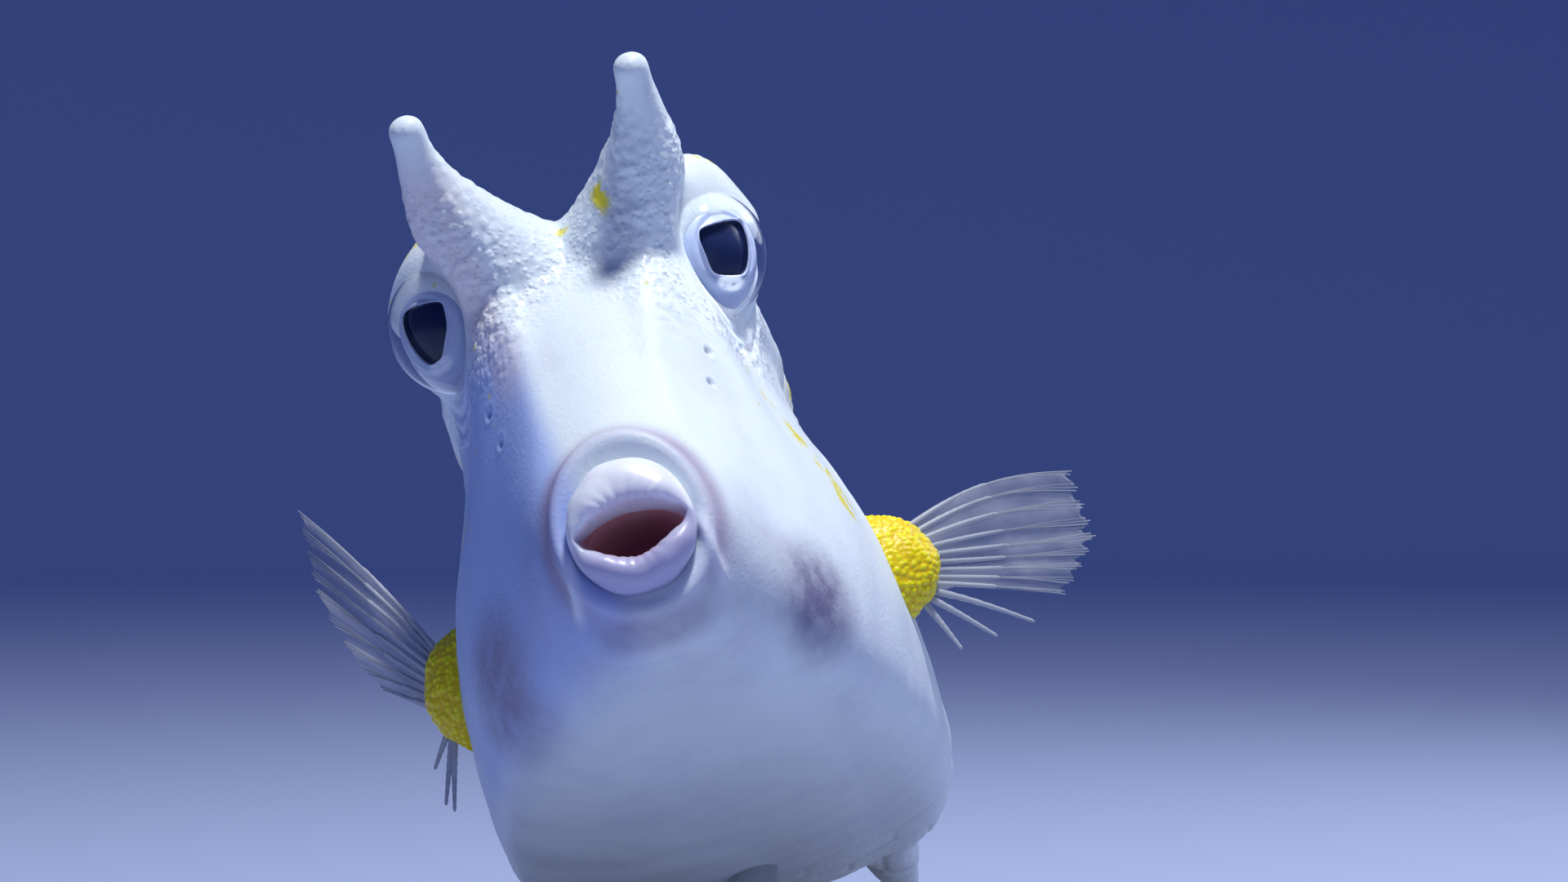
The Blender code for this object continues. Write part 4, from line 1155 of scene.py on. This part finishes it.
def fan_fin(name, rays, free, place_on, web_end, facing, finishes, seed):
    """A fin of branching rays with a thin pleated web between them.

    place_on gives the middle surface from ray numbers and shares of length.
    """
    draw = np.random.default_rng(seed)
    web_rays = rays - free
    columns = np.linspace(0, rays - 1, (rays - 1) * 10 + 1)
    rows = 40
    width = len(columns)
    ends = np.array([web_end(column) for column in columns])
    frill = 1 + 0.010 * np.sin(columns * 7.3 + seed) * (columns % 1 > 0.05)
    side_of_pleat = np.where(columns.astype(int) % 2, 1, -1)
    grid = []
    for row in range(rows + 1):
        line = place_on(columns, ends * frill * row / rows)
        wave = PLEAT * np.sin(np.pi * (columns % 1)) * (row / rows) ** 1.2 * side_of_pleat
        grid.append(line + facing * wave[:, None])
    flat = np.array(grid).reshape(-1, 3)
    count = len(flat)
    front_faces = grid_faces(rows + 1, width, wrap=False)
    points = np.concatenate([flat + facing * WEB_THIN, flat - facing * WEB_THIN])
    border = np.concatenate([
        np.arange(width),
        np.arange(1, rows + 1) * width + width - 1,
        (rows * width + np.arange(width - 1))[::-1],
        (np.arange(1, rows) * width)[::-1],
    ])
    following = np.roll(border, -1)
    rim = np.stack([border, following, following + count, border + count], 1)
    faces = np.concatenate([front_faces, front_faces[:, ::-1] + count, rim[:, ::-1]])
    parts, kinds = [(points, faces)], [np.zeros(len(faces), int)]
    marks_along = [np.tile(np.repeat(np.arange(rows + 1) / rows, width), 2)]

    def add_ray(tube, along):
        parts.append(tube)
        kinds.append(np.ones(len(tube[1]), int))
        marks_along.append(np.full(len(tube[0]), along))

    for ray in range(rays):
        in_web = ray < web_rays
        stem = 0.55 * 0.985 if in_web else 1.0
        stout = 1.0 if in_web else 1.35
        share = np.linspace(0.0, stem, 34)
        size = stout * RAY_WIDTH * (1 - 0.62 * share) * (1 + 0.08 * np.sin(share * 150) * (share > 0.25))
        size[-1] *= 0.6
        add_ray(ray_tube(place_on(np.full(34, float(ray)), share), size, facing), 0.5)
        if not in_web:
            continue
        fork = stem - 0.03
        for way in (-1, 0, 1):
            share = np.linspace(fork, 0.985 * (1 - 0.02 * abs(way)) + 0.01 * draw.random(), 30)
            open_up = way * 0.20 * smooth_step(fork, 1.0, share)
            path = place_on(np.clip(ray + open_up, 0, web_rays - 1), share)
            size = RAY_WIDTH * 0.36 * (1 - 0.55 * (share - share[0]) / (1 - share[0]))
            size = size * (1 + 0.10 * np.sin(share * 190))
            add_ray(ray_tube(path, size, facing, 6), 0.8)
    points, faces = stacked(parts)
    marks = {"along_fin": np.concatenate(marks_along)}
    webs_and_rays = [finishes["fin_web"], finishes["fin_ray"]]
    piece_from(name, points, faces, webs_and_rays, (name,), marks, np.concatenate(kinds))


def make_pectoral_fin(side, word, stroke, arch, finishes):
    root = mirrored(PECTORAL_ROOT, side)
    marks, angles, lengths = (np.array(column) for column in zip(*stroke))
    last = PECTORAL_RAYS - 1
    web_rays = last - FREE_RAYS

    def web_end(spread):
        scallop = 0.035 * (1 - math.cos(2 * math.pi * spread)) / 2
        if spread <= web_rays:
            return WEB_MARGIN - scallop
        return 0.30 - 0.1 * (spread - web_rays) / FREE_RAYS - scallop

    def place_on(spread, share):
        part = spread / last
        angle = np.radians(np.interp(spread, marks, angles))
        length = np.interp(spread, marks, lengths)
        start = np.stack([side * (0.020 + 0.008 * part), 0.004 + 0 * part, 0.022 - 0.046 * part], 1)
        out, up = np.cos(angle), np.sin(angle)
        lie = np.stack([side * out * math.cos(PECTORAL_SWEEP), out * math.sin(PECTORAL_SWEEP), up], 1)
        bow = np.stack([0 * share, 0.10 * share**2 + 0.012 * np.sin(share * 5.0 + spread), 0 * share], 1)
        curl = np.stack([0 * share, 0 * share, -0.06 * share**2 * (spread > web_rays)], 1)
        raised = arch * smooth_step(4.0, 0.0, spread) * np.sin(np.pi * share)
        fan = root + start + (lie * share[:, None] + bow + curl) * length[:, None]
        return fan + np.stack([0 * share, 0 * share, raised], 1)

    facing = np.array([-side * math.sin(PECTORAL_SWEEP), math.cos(PECTORAL_SWEEP), 0.0])
    fan_fin(f"pectoral_fin_{word}", PECTORAL_RAYS, FREE_RAYS, place_on, web_end, facing, finishes, 3)


def make_median_fin(name, rays, line, angles, length, bend, finishes, seed):
    start, end = np.array(line[0], float), np.array(line[1], float)
    last = rays - 1

    def web_end(spread):
        return WEB_MARGIN - 0.03 * (1 - math.cos(2 * math.pi * spread)) / 2

    def place_on(spread, share):
        part = np.asarray(spread) / last
        angle = np.radians(angles[0] + (angles[1] - angles[0]) * part)
        rounded = length * (1.0 - 0.30 * np.abs(2 * part - 1) ** 2.4)
        lie = np.stack([0 * angle, np.cos(angle), np.sin(angle)], 1)
        sway = np.stack([bend * share**2, 0 * share, 0 * share], 1)
        root = start + (end - start) * part[:, None]
        return root + (lie * share[:, None] + sway) * rounded[:, None]

    fan_fin(name, rays, 0, place_on, web_end, np.array([1.0, 0.0, 0.0]), finishes, seed)


def make_fins(finishes):
    for side, word, stroke, arch in ((1, "left", LEFT_STROKE, 0.013), (-1, "right", RIGHT_STROKE, 0.008)):
        fleshy_root(side, word, finishes)
        make_pectoral_fin(side, word, stroke, arch, finishes)
    root = STALK_END - 0.012
    for name, rays, line, angles, length, bend, seed in (
        ("dorsal_fin", MEDIAN_RAYS, ((0, 0.715, 0.235), (0, 0.790, 0.190)), (72, 28), 0.150, 0.10, 5),
        ("anal_fin", MEDIAN_RAYS, ((0, 0.775, 0.010), (0, 0.850, 0.075)), (-68, -18), 0.140, 0.08, 6),
        ("tail_fin", TAIL_RAYS, ((0, root, 0.086), (0, root, 0.148)), (-24, 24), TAIL_LENGTH, -0.10, 7),
    ):
        make_median_fin(name, rays, line, angles, length, bend, finishes, seed)


# Materials

class Nodes:
    """Short ways to add and join the nodes of a material or a shader group."""

    def __init__(self, tree):
        self.tree = tree

    def add(self, kind, **settings):
        node = self.tree.nodes.new(kind)
        for name, value in settings.items():
            setattr(node, name, value)
        return node

    def join(self, source, target):
        self.tree.links.new(source, target)

    def feed(self, target, value):
        if isinstance(value, bpy.types.NodeSocket):
            self.join(value, target)
        else:
            target.default_value = value

    def fill(self, node, values):
        """Feeds the named inputs of a node, each with a plain value or with another node's output."""
        for label, value in values.items():
            self.feed(node.inputs[label], value)

    def mark(self, name, output="Fac"):
        """A value of each point that piece_from keeps on the mesh."""
        return self.add("ShaderNodeAttribute", attribute_name=name, attribute_type="GEOMETRY").outputs[output]

    def math(self, operation, first, second=0.0):
        node = self.add("ShaderNodeMath", operation=operation)
        self.feed(node.inputs[0], first)
        self.feed(node.inputs[1], second)
        return node.outputs[0]

    def times(self, *values):
        """The product of two or more values."""
        product = values[0]
        for value in values[1:]:
            product = self.math("MULTIPLY", product, value)
        return product

    def clamp(self, value, low=0.0, high=1.0):
        node = self.add("ShaderNodeClamp")
        self.feed(node.inputs[0], value)
        node.inputs[1].default_value = low
        node.inputs[2].default_value = high
        return node.outputs[0]

    def span(self, value, low, high, start=0.0, end=1.0):
        node = self.add("ShaderNodeMapRange", interpolation_type="SMOOTHSTEP")
        self.feed(node.inputs[0], value)
        for place, number in zip((1, 2, 3, 4), (low, high, start, end)):
            self.feed(node.inputs[place], number)
        return node.outputs[0]

    def mix(self, share, first, second):
        node = self.add("ShaderNodeMix", data_type="RGBA", blend_type="MIX")
        self.feed(node.inputs[0], share)
        self.feed(node.inputs[6], first)
        self.feed(node.inputs[7], second)
        return node.outputs[2]

    def noise(self, vector, scale, detail=3.0, rough=0.55):
        node = self.add("ShaderNodeTexNoise")
        self.fill(node, {"Vector": vector, "Scale": scale, "Detail": detail, "Roughness": rough})
        return node.outputs["Fac"]

    def cells(self, vector, scale):
        node = self.add("ShaderNodeTexVoronoi", feature="F1")
        self.fill(node, {"Vector": vector, "Scale": scale})
        return node

    def stretched(self, scale):
        """The piece's own coordinates, stretched so that a noise over them turns into streaks."""
        stretch = self.add("ShaderNodeMapping")
        self.join(self.add("ShaderNodeTexCoord").outputs["Object"], stretch.inputs["Vector"])
        stretch.inputs["Scale"].default_value = scale
        return stretch.outputs[0]

    def parts(self, vector):
        node = self.add("ShaderNodeSeparateXYZ")
        self.feed(node.inputs[0], vector)
        return node.outputs

    def bump(self, height, strength, distance):
        node = self.add("ShaderNodeBump")
        self.fill(node, {"Height": height, "Strength": strength, "Distance": distance})
        return node.outputs["Normal"]


def colour(red, green, blue):
    return (red, green, blue, 1.0)


def new_group(name, inputs, outputs):
    """A shader node group with named sockets; returns the group, its nodes and its two ends."""
    group = bpy.data.node_groups.new(name, "ShaderNodeTree")
    for label, kind, value in inputs:
        socket = group.interface.new_socket(label, in_out="INPUT", socket_type=kind)
        if value is not None:
            socket.default_value = value
    for label, kind in outputs:
        group.interface.new_socket(label, in_out="OUTPUT", socket_type=kind)
    nodes = Nodes(group)
    return group, nodes, nodes.add("NodeGroupInput"), nodes.add("NodeGroupOutput")


def skin_grain_group():
    """Fine wet grain of skin: a height for bump and a roughness that wanders."""
    group, nodes, given, gives = new_group(
        "skin_grain",
        (
            ("Place", "NodeSocketVector", None),
            ("Size", "NodeSocketFloat", 1.0),
            ("Pebbling", "NodeSocketFloat", 0.3),
            ("Roughness", "NodeSocketFloat", 0.4),
        ),
        (("Height", "NodeSocketFloat"), ("Roughness", "NodeSocketFloat"), ("Mottle", "NodeSocketFloat")),
    )
    place, size = given.outputs["Place"], given.outputs["Size"]
    dome = nodes.span(nodes.cells(place, nodes.times(size, 230.0)).outputs["Distance"], 0.55, 0.05)
    soft = nodes.noise(place, nodes.times(size, 420.0), 4.0)
    pebbled = nodes.times(dome, given.outputs["Pebbling"])
    wander = nodes.noise(place, nodes.times(size, 38.0), 4.0)
    shift = nodes.times(nodes.math("SUBTRACT", wander, 0.5), 0.35)
    nodes.fill(gives, {
        "Height": nodes.math("ADD", pebbled, nodes.times(soft, 0.35)),
        "Roughness": nodes.clamp(nodes.math("ADD", given.outputs["Roughness"], shift), 0.12, 0.9),
        "Mottle": nodes.noise(place, nodes.times(size, 14.0), 5.0),
    })
    return group


def flecks_group():
    """Small scattered flecks: a mask from the fish's own coordinates."""
    group, nodes, given, gives = new_group(
        "flecks",
        (
            ("Place", "NodeSocketVector", None),
            ("Spacing", "NodeSocketFloat", 30.0),
            ("Share", "NodeSocketFloat", 0.4),
            ("Size", "NodeSocketFloat", 0.25),
        ),
        (("Mask", "NodeSocketFloat"),),
    )
    place, size = given.outputs["Place"], given.outputs["Size"]
    shifted = nodes.add("ShaderNodeVectorMath", operation="ADD")
    nodes.join(place, shifted.inputs[0])
    nodes.join(nodes.times(nodes.noise(place, 60.0, 2.0), 0.012), shifted.inputs[1])
    cells = nodes.cells(shifted.outputs[0], given.outputs["Spacing"])
    chance = nodes.parts(cells.outputs["Color"])[0]
    shown = nodes.math("LESS_THAN", chance, given.outputs["Share"])
    near = nodes.span(cells.outputs["Distance"], size, nodes.times(size, 0.55))
    nodes.join(nodes.times(near, shown), gives.inputs["Mask"])
    return group


def new_material(name):
    made = bpy.data.materials.new(name)
    made.use_nodes = True
    nodes = Nodes(made.node_tree)
    return made, nodes, made.node_tree.nodes["Principled BSDF"]


def place_group(nodes, group, **values):
    node = nodes.add("ShaderNodeGroup", node_tree=group)
    nodes.fill(node, values)
    return node


def zone(nodes, axes, centre, sizes, soft=0.35):
    """A soft-edged ball of influence round a place on the fish."""
    total = None
    for axis, middle, size in zip(axes, centre, sizes):
        away = nodes.math("DIVIDE", nodes.math("SUBTRACT", axis, middle), size)
        square = nodes.times(away, away)
        total = square if total is None else nodes.math("ADD", total, square)
    return nodes.span(nodes.math("SQRT", total), 1.0 + soft, 1.0 - soft)


def skin_material(groups):
    """Pale wet skin: blue-white, with painted shade in lavender towards the belly, in blue on the right side
    and in the groove round the lips; cream flanks, blotches, painted shadows of a horn and of the lips,
    yellow flecks, pink mouth.
    """
    made, nodes, shader = new_material("wet_pale_skin")
    place = nodes.mark("fish_place", "Vector")
    x, y, z = nodes.parts(place)[:3]
    brow_rough = nodes.mark("brow_rough")
    pebbling = nodes.math("ADD", 0.15, nodes.times(brow_rough, 0.85))
    grain = place_group(nodes, groups["skin_grain"], Place=place, Size=1.0, Pebbling=pebbling, Roughness=0.50)
    flank = nodes.times(nodes.span(y, 0.26, 0.50), nodes.span(z, -0.04, 0.10))
    base = nodes.mix(nodes.times(flank, 0.75), colour(0.81, 0.90, 0.93), colour(0.76, 0.72, 0.47))
    mottled = nodes.times(nodes.span(grain.outputs["Mottle"], 0.42, 0.72), 0.25)
    # Lavender towards the belly is painted shade; the mottle mixed in with it is the skin's own
    below = nodes.times(nodes.span(z, 0.05, -0.07), 0.15)
    base = nodes.mix(nodes.clamp(nodes.math("ADD", mottled, below)), base, colour(0.52, 0.53, 0.70))
    # Painted shade: blue on the fish's right side below the eye, where the main light does not reach
    right_side = nodes.span(nodes.math("ADD", x, nodes.times(z, 0.136)), -0.012, -0.034)
    between = nodes.times(nodes.span(z, 0.225, 0.165), nodes.span(z, -0.085, -0.045))
    painted_shade_side = nodes.times(right_side, between, nodes.span(y, 0.60, 0.10))
    base = nodes.mix(nodes.times(painted_shade_side, 0.80), base, colour(0.33, 0.45, 0.86))
    # Painted shade in the groove round the lips
    base = nodes.mix(nodes.times(nodes.mark("fold_groove_shade"), 0.85), base, colour(0.36, 0.29, 0.43))
    uneven = nodes.span(nodes.noise(place, 45.0, 4.0), 0.30, 0.62, 0.62, 1.0)
    for middle, sizes, tint, strength in BLOTCHES_AND_PAINTED_SHADE:
        patch = nodes.times(zone(nodes, (x, y, z), middle, sizes, 0.6), uneven)
        base = nodes.mix(nodes.times(patch, strength), base, colour(*tint))
    for label, strength, tint in (
        ("plate_edge", 0.35, colour(0.45, 0.43, 0.48)),
        ("granule", 0.35, colour(0.88, 0.92, 0.98)),
        ("corner_fold", 0.6, colour(0.84, 0.88, 0.98)),
    ):
        base = nodes.mix(nodes.times(nodes.mark(label), strength), base, tint)
    yellow = colour(0.84, 0.72, 0.015)
    flecks = place_group(nodes, groups["flecks"], Place=place, Spacing=24.0, Share=0.50, Size=0.30)
    dots = place_group(nodes, groups["flecks"], Place=place, Spacing=60.0, Share=0.16, Size=0.15)
    rear = nodes.times(nodes.span(y, 0.26, 0.38), nodes.span(z, -0.02, 0.08))
    flecked = nodes.times(flecks.outputs["Mask"], rear)
    dotted = nodes.times(dots.outputs["Mask"], nodes.span(z, 0.02, 0.06, 0.0, 0.6))
    base = nodes.mix(nodes.clamp(nodes.math("MAXIMUM", flecked, dotted)), base, yellow)
    ragged = nodes.span(nodes.noise(place, 90.0, 3.0), 0.40, 0.55)
    for middle, sizes in YELLOW_PATCHES:
        base = nodes.mix(nodes.times(zone(nodes, (x, y, z), middle, sizes), ragged), base, yellow)
    base = nodes.mix(nodes.times(nodes.mark("fold_band"), 0.20), base, colour(0.62, 0.62, 0.84))
    for label, tint in (
        ("pit", colour(0.30, 0.27, 0.36)),
        ("slit", colour(0.12, 0.05, 0.06)),
        ("mouth_inside", colour(0.92, 0.47, 0.48)),
    ):
        base = nodes.mix(nodes.clamp(nodes.mark(label)), base, tint)
    nodes.fill(shader, {
        "Base Color": base,
        "Roughness": grain.outputs["Roughness"],
        "Specular IOR Level": 0.35,
        "Subsurface Weight": 0.25,
        "Subsurface Radius": (1.0, 0.7, 0.6),
        "Subsurface Scale": 0.0012,
        "Coat Weight": nodes.span(brow_rough, 0.0, 1.0, 0.03, 0.40),
        "Coat Roughness": 0.22,
        "Normal": nodes.bump(grain.outputs["Height"], 0.55, 0.00016),
    })
    return made


def lip_material(groups):
    made, nodes, shader = new_material("lip_flesh")
    place = nodes.mark("fish_place", "Vector")
    grain = place_group(nodes, groups["skin_grain"], Place=place, Size=1.2, Pebbling=0.05, Roughness=0.42)
    mottled = nodes.span(grain.outputs["Mottle"], 0.35, 0.75)
    height = nodes.parts(place)[2]
    # Painted shade: lavender on the lower lip and white on the upper one, and mauve where the lips turn in
    # towards the mouth
    base = nodes.mix(nodes.span(height, -0.026, 0.016), colour(0.46, 0.45, 0.66), colour(0.90, 0.93, 1.0))
    base = nodes.mix(nodes.times(mottled, 0.20), base, colour(0.52, 0.47, 0.68))
    base = nodes.mix(nodes.times(nodes.mark("lip_edge_shade"), 0.45), base, colour(0.50, 0.32, 0.42))
    nodes.fill(shader, {
        "Base Color": nodes.mix(nodes.mark("mouth_inside"), base, colour(0.92, 0.46, 0.47)),
        "Roughness": grain.outputs["Roughness"],
        "Subsurface Weight": 0.35,
        "Subsurface Radius": (1.0, 0.5, 0.5),
        "Subsurface Scale": 0.0014,
        "Coat Weight": 0.15,
        "Coat Roughness": 0.28,
        "Normal": nodes.bump(grain.outputs["Height"], 0.35, 0.00012),
    })
    return made


def eyeball_material(groups):
    made, nodes, shader = new_material("eyeball")
    place = nodes.mark("fish_place", "Vector")
    grain = place_group(nodes, groups["skin_grain"], Place=place, Size=1.6, Pebbling=0.0, Roughness=0.22)
    ring = nodes.mark("ring")
    base = nodes.mix(nodes.span(ring, 0.56, 0.92), colour(0.47, 0.55, 0.75), colour(0.33, 0.39, 0.62))
    # Painted shade in the groove that rings the pupil
    off_band = nodes.math("ABSOLUTE", nodes.math("SUBTRACT", ring, 0.46))
    base = nodes.mix(nodes.times(nodes.span(off_band, 0.06, 0.01), 0.45), base, colour(0.36, 0.38, 0.58))
    mottled = nodes.times(nodes.span(grain.outputs["Mottle"], 0.4, 0.7), 0.30)
    base = nodes.mix(mottled, base, colour(0.50, 0.52, 0.74))
    # Painted highlight below the pupil, which also glows through its emission
    ragged = nodes.span(nodes.noise(place, 130.0, 3.0), 0.34, 0.48)
    painted_gleam = nodes.times(nodes.mark("painted_gleam"), ragged)
    base = nodes.mix(painted_gleam, base, colour(0.97, 0.99, 1.0))
    nodes.fill(shader, {
        "Emission Color": nodes.mix(painted_gleam, colour(0, 0, 0), colour(0.80, 0.90, 1.0)),
        "Emission Strength": 0.35,
        "Base Color": nodes.mix(nodes.mark("pupil"), base, colour(0.008, 0.015, 0.060)),
        "Roughness": grain.outputs["Roughness"],
        "Specular IOR Level": 0.25,
        "Normal": nodes.bump(grain.outputs["Height"], 0.2, 0.00008),
    })
    return made


def cornea_material():
    made, nodes, shader = new_material("cornea_clear")
    nodes.fill(shader, {
        "Base Color": colour(0.97, 0.98, 1.0),
        "Roughness": 0.02,
        "IOR": 1.12,
        "Transmission Weight": 1.0,
    })
    return made


def yellow_material(groups):
    made, nodes, shader = new_material("yellow_granular_flesh")
    place = nodes.mark("fish_place", "Vector")
    grain = place_group(nodes, groups["skin_grain"], Place=place, Size=1.3, Pebbling=0.5, Roughness=0.42)
    nodes.fill(shader, {
        "Base Color": nodes.mix(nodes.mark("granule"), colour(0.86, 0.60, 0.0), colour(1.0, 0.90, 0.0)),
        "Roughness": grain.outputs["Roughness"],
        "Subsurface Weight": 0.2,
        "Subsurface Scale": 0.0010,
        "Normal": nodes.bump(grain.outputs["Height"], 0.5, 0.00012),
    })
    return made


def fin_material(name, groups, web):
    made, nodes, shader = new_material(name)
    place = nodes.mark("fish_place", "Vector")
    grain = place_group(nodes, groups["skin_grain"], Place=place, Size=1.5, Pebbling=0.1, Roughness=0.32)
    along = nodes.mark("along_fin")
    if web:
        tints = colour(0.30, 0.33, 0.42), colour(0.46, 0.49, 0.58)
        thin = nodes.span(nodes.noise(place, 30.0, 3.0), 0.3, 0.8, 0.22, 0.42)
        clear = nodes.clamp(nodes.times(thin, nodes.span(along, 0.0, 1.0, 1.3, 0.85)))
    else:
        tints = colour(0.50, 0.53, 0.60), colour(0.36, 0.38, 0.46)
        clear = nodes.span(along, 0.5, 0.9, 0.85, 0.72)
    nodes.fill(shader, {
        "Base Color": nodes.mix(nodes.span(grain.outputs["Mottle"], 0.4, 0.7), *tints),
        "Roughness": grain.outputs["Roughness"],
        "Alpha": clear,
        "Normal": nodes.bump(grain.outputs["Height"], 0.3, 0.00010),
    })
    return made


def wood_material():
    made, nodes, shader = new_material("stained_wood")
    grain = nodes.stretched((260.0, 18.0, 260.0))
    streaks = nodes.noise(grain, 1.0, 6.0, 0.65)
    pores = nodes.noise(grain, 4.0, 3.0, 0.7)
    dark, lighter = colour(0.020, 0.012, 0.009), colour(0.075, 0.045, 0.030)
    nodes.fill(shader, {
        "Base Color": nodes.mix(nodes.span(streaks, 0.35, 0.68), dark, lighter),
        "Roughness": nodes.span(pores, 0.3, 0.7, 0.28, 0.45),
        "Coat Weight": 0.3,
        "Coat Roughness": 0.15,
        "Normal": nodes.bump(nodes.math("ADD", streaks, pores), 0.25, 0.00010),
    })
    return made


def steel_material():
    made, nodes, shader = new_material("brushed_steel")
    lines = nodes.noise(nodes.stretched((60.0, 60.0, 1500.0)), 1.0, 3.0)
    nodes.fill(shader, {
        "Base Color": nodes.mix(lines, colour(0.50, 0.51, 0.53), colour(0.72, 0.73, 0.75)),
        "Metallic": 1.0,
        "Roughness": nodes.span(lines, 0.2, 0.8, 0.20, 0.38),
        "Normal": nodes.bump(lines, 0.15, 0.00002),
    })
    return made


def make_finishes():
    groups = {"skin_grain": skin_grain_group(), "flecks": flecks_group()}
    return {
        "skin": skin_material(groups),
        "lip": lip_material(groups),
        "eyeball": eyeball_material(groups),
        "cornea": cornea_material(),
        "yellow_flesh": yellow_material(groups),
        "fin_web": fin_material("fin_web", groups, True),
        "fin_ray": fin_material("fin_ray", groups, False),
        "stand_wood": wood_material(),
        "stand_metal": steel_material(),
    }


# Stand

def quarter_bend(size, steps):
    """How far along and how far across each step of a quarter circle is, less its first."""
    angles = np.linspace(0, math.pi / 2, steps)[1:]
    return [(size * math.sin(angle), size * (1 - math.cos(angle))) for angle in angles]


def lathe(profile, middle, sides=64):
    turns = round_turns(sides)
    across, along = np.cos(turns), np.sin(turns)
    return closed_loft([
        np.stack([middle[0] + radius * across, middle[1] + radius * along, np.full(sides, height)], 1)
        for height, radius in profile
    ])


def rounded_outline(half_width, half_length, corner, steps=16):
    outline = []
    for turn, sx, sy in ((0, 1, 1), (90, -1, 1), (180, -1, -1), (270, 1, -1)):
        for step in range(steps + 1):
            angle = math.radians(turn + 90 * step / steps)
            outline.append((
                sx * (half_width - corner) + corner * math.cos(angle),
                sy * (half_length - corner) + corner * math.sin(angle),
            ))
    return np.array(outline)


def make_stand(finishes):
    levels = [(0.0, BASE_BEVEL * 0.5), (BASE_BEVEL * 0.3, 0.0), (BASE_HEIGHT - BASE_BEVEL, 0.0)]
    levels += [(BASE_HEIGHT - BASE_BEVEL + rise, inset) for rise, inset in quarter_bend(BASE_BEVEL, 8)]
    levels.append((BASE_HEIGHT, BASE_BEVEL * 2.5))
    rings = []
    for height, inset in levels:
        outline = rounded_outline(BASE_WIDTH / 2 - inset, BASE_LENGTH / 2 - inset, BASE_CORNER - inset)
        rings.append(np.column_stack([outline, np.full(len(outline), height)]))
    points, faces = closed_loft(rings)
    wood, steel = [finishes["stand_wood"]], [finishes["stand_metal"]]
    piece_from("stand_base", points, faces, wood, ("stand_base",), fish=False)
    for node in ("stand_rod_front", "stand_rod_rear"):
        low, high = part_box(node)
        middle = ((low.x + high.x) / 2, (low.y + high.y) / 2)
        top = low.z + COLLAR_HEIGHT
        shoulder = top - COLLAR_BEVEL
        profile = [(BASE_HEIGHT - 0.0004, COLLAR_RADIUS), (shoulder, COLLAR_RADIUS)]
        profile += [(shoulder + rise, COLLAR_RADIUS - inset) for rise, inset in quarter_bend(COLLAR_BEVEL, 8)]
        profile += [(top, ROD_RADIUS + 0.0006), (top + 0.0006, ROD_RADIUS), (high.z + 0.0015, ROD_RADIUS)]
        points, faces = lathe(profile, middle)
        piece_from(node, points, faces, steel, (node,), fish=False)


# Studio

def stage_surface(name, points, faces, material):
    mesh = plain_mesh(name, points, faces)
    mesh.materials.append(material)
    mesh.shade_smooth()
    made = bpy.data.objects.new(name, mesh)
    bpy.context.scene.collection.objects.link(made)


def area_light(name, place, target, size, power, tint):
    lamp = bpy.data.lights.new(name, "AREA")
    lamp.shape = "DISK"
    lamp.size = size
    lamp.energy = power
    lamp.color = tint
    made = bpy.data.objects.new(name, lamp)
    bpy.context.scene.collection.objects.link(made)
    made.location = place
    made.rotation_euler = (Vector(target) - Vector(place)).to_track_quat("-Z", "Y").to_euler()


def make_studio():
    made, nodes, shader = new_material("pale_paper")
    nodes.fill(shader, {"Base Color": colour(0.48, 0.56, 0.80), "Roughness": 0.9})
    reach, height, bend = 2.0, 1.0, 0.6
    line = [(0.002, 0.0), (reach - bend, 0.0)]
    line += [(reach - bend + run, rise) for run, rise in quarter_bend(bend, 24)]
    line.append((reach, height))
    spokes = 96
    turns = round_turns(spokes)
    points = np.array([
        np.stack([radius * np.cos(turns), radius * np.sin(turns), np.full(spokes, level)], 1)
        for radius, level in line
    ])
    stage_surface("floor_and_backdrop", points.reshape(-1, 3), grid_faces(len(line), spokes), made)
    world = bpy.data.worlds.new("studio_air")
    world.use_nodes = True
    air = world.node_tree.nodes["Background"]
    air.inputs[0].default_value = colour(0.15, 0.29, 1.0)
    air.inputs[1].default_value = 0.21
    bpy.context.scene.world = world
    bpy.context.scene.view_settings.view_transform = "Standard"
    fish = Vector((0.0, -0.02, 0.09))
    area_light("key_above", fish + Vector(KEY_FROM).normalized() * 0.60, fish, 0.09, 4.25, (0.99, 1.0, 0.99))
    area_light("rim_back", (0.35, 0.30, 0.30), fish, 0.25, 0.6, (0.85, 0.90, 1.0))
    area_light("low_front", (0.22, -0.50, 0.03), (0.02, -0.03, 0.04), 0.25, 0.20, (0.70, 0.80, 1.0))


def make_camera():
    mouth = POSE @ Vector((0, 0, 0))
    lens = bpy.data.cameras.new("photo_view")
    lens.sensor_width = SENSOR
    lens.lens = SENSOR * CAMERA_DISTANCE / (PHOTO_WIDTH * PIXEL_AT_MOUTH)
    lens.clip_start = 0.01
    camera = bpy.data.objects.new("photo_view", lens)
    bpy.context.scene.collection.objects.link(camera)
    camera.location = mouth + Vector((
        MOUTH_LEFT_OF_MIDDLE * PIXEL_AT_MOUTH, -CAMERA_DISTANCE, MOUTH_BELOW_MIDDLE * PIXEL_AT_MOUTH
    ))
    camera.rotation_euler = (math.radians(90), 0, 0)
    bpy.context.scene.camera = camera


finishes = make_finishes()
make_skin_and_horns(finishes)
make_lips(finishes)
make_eye(1, "left", finishes)
make_eye(-1, "right", finishes)
make_fins(finishes)
make_stand(finishes)
make_studio()
make_camera()
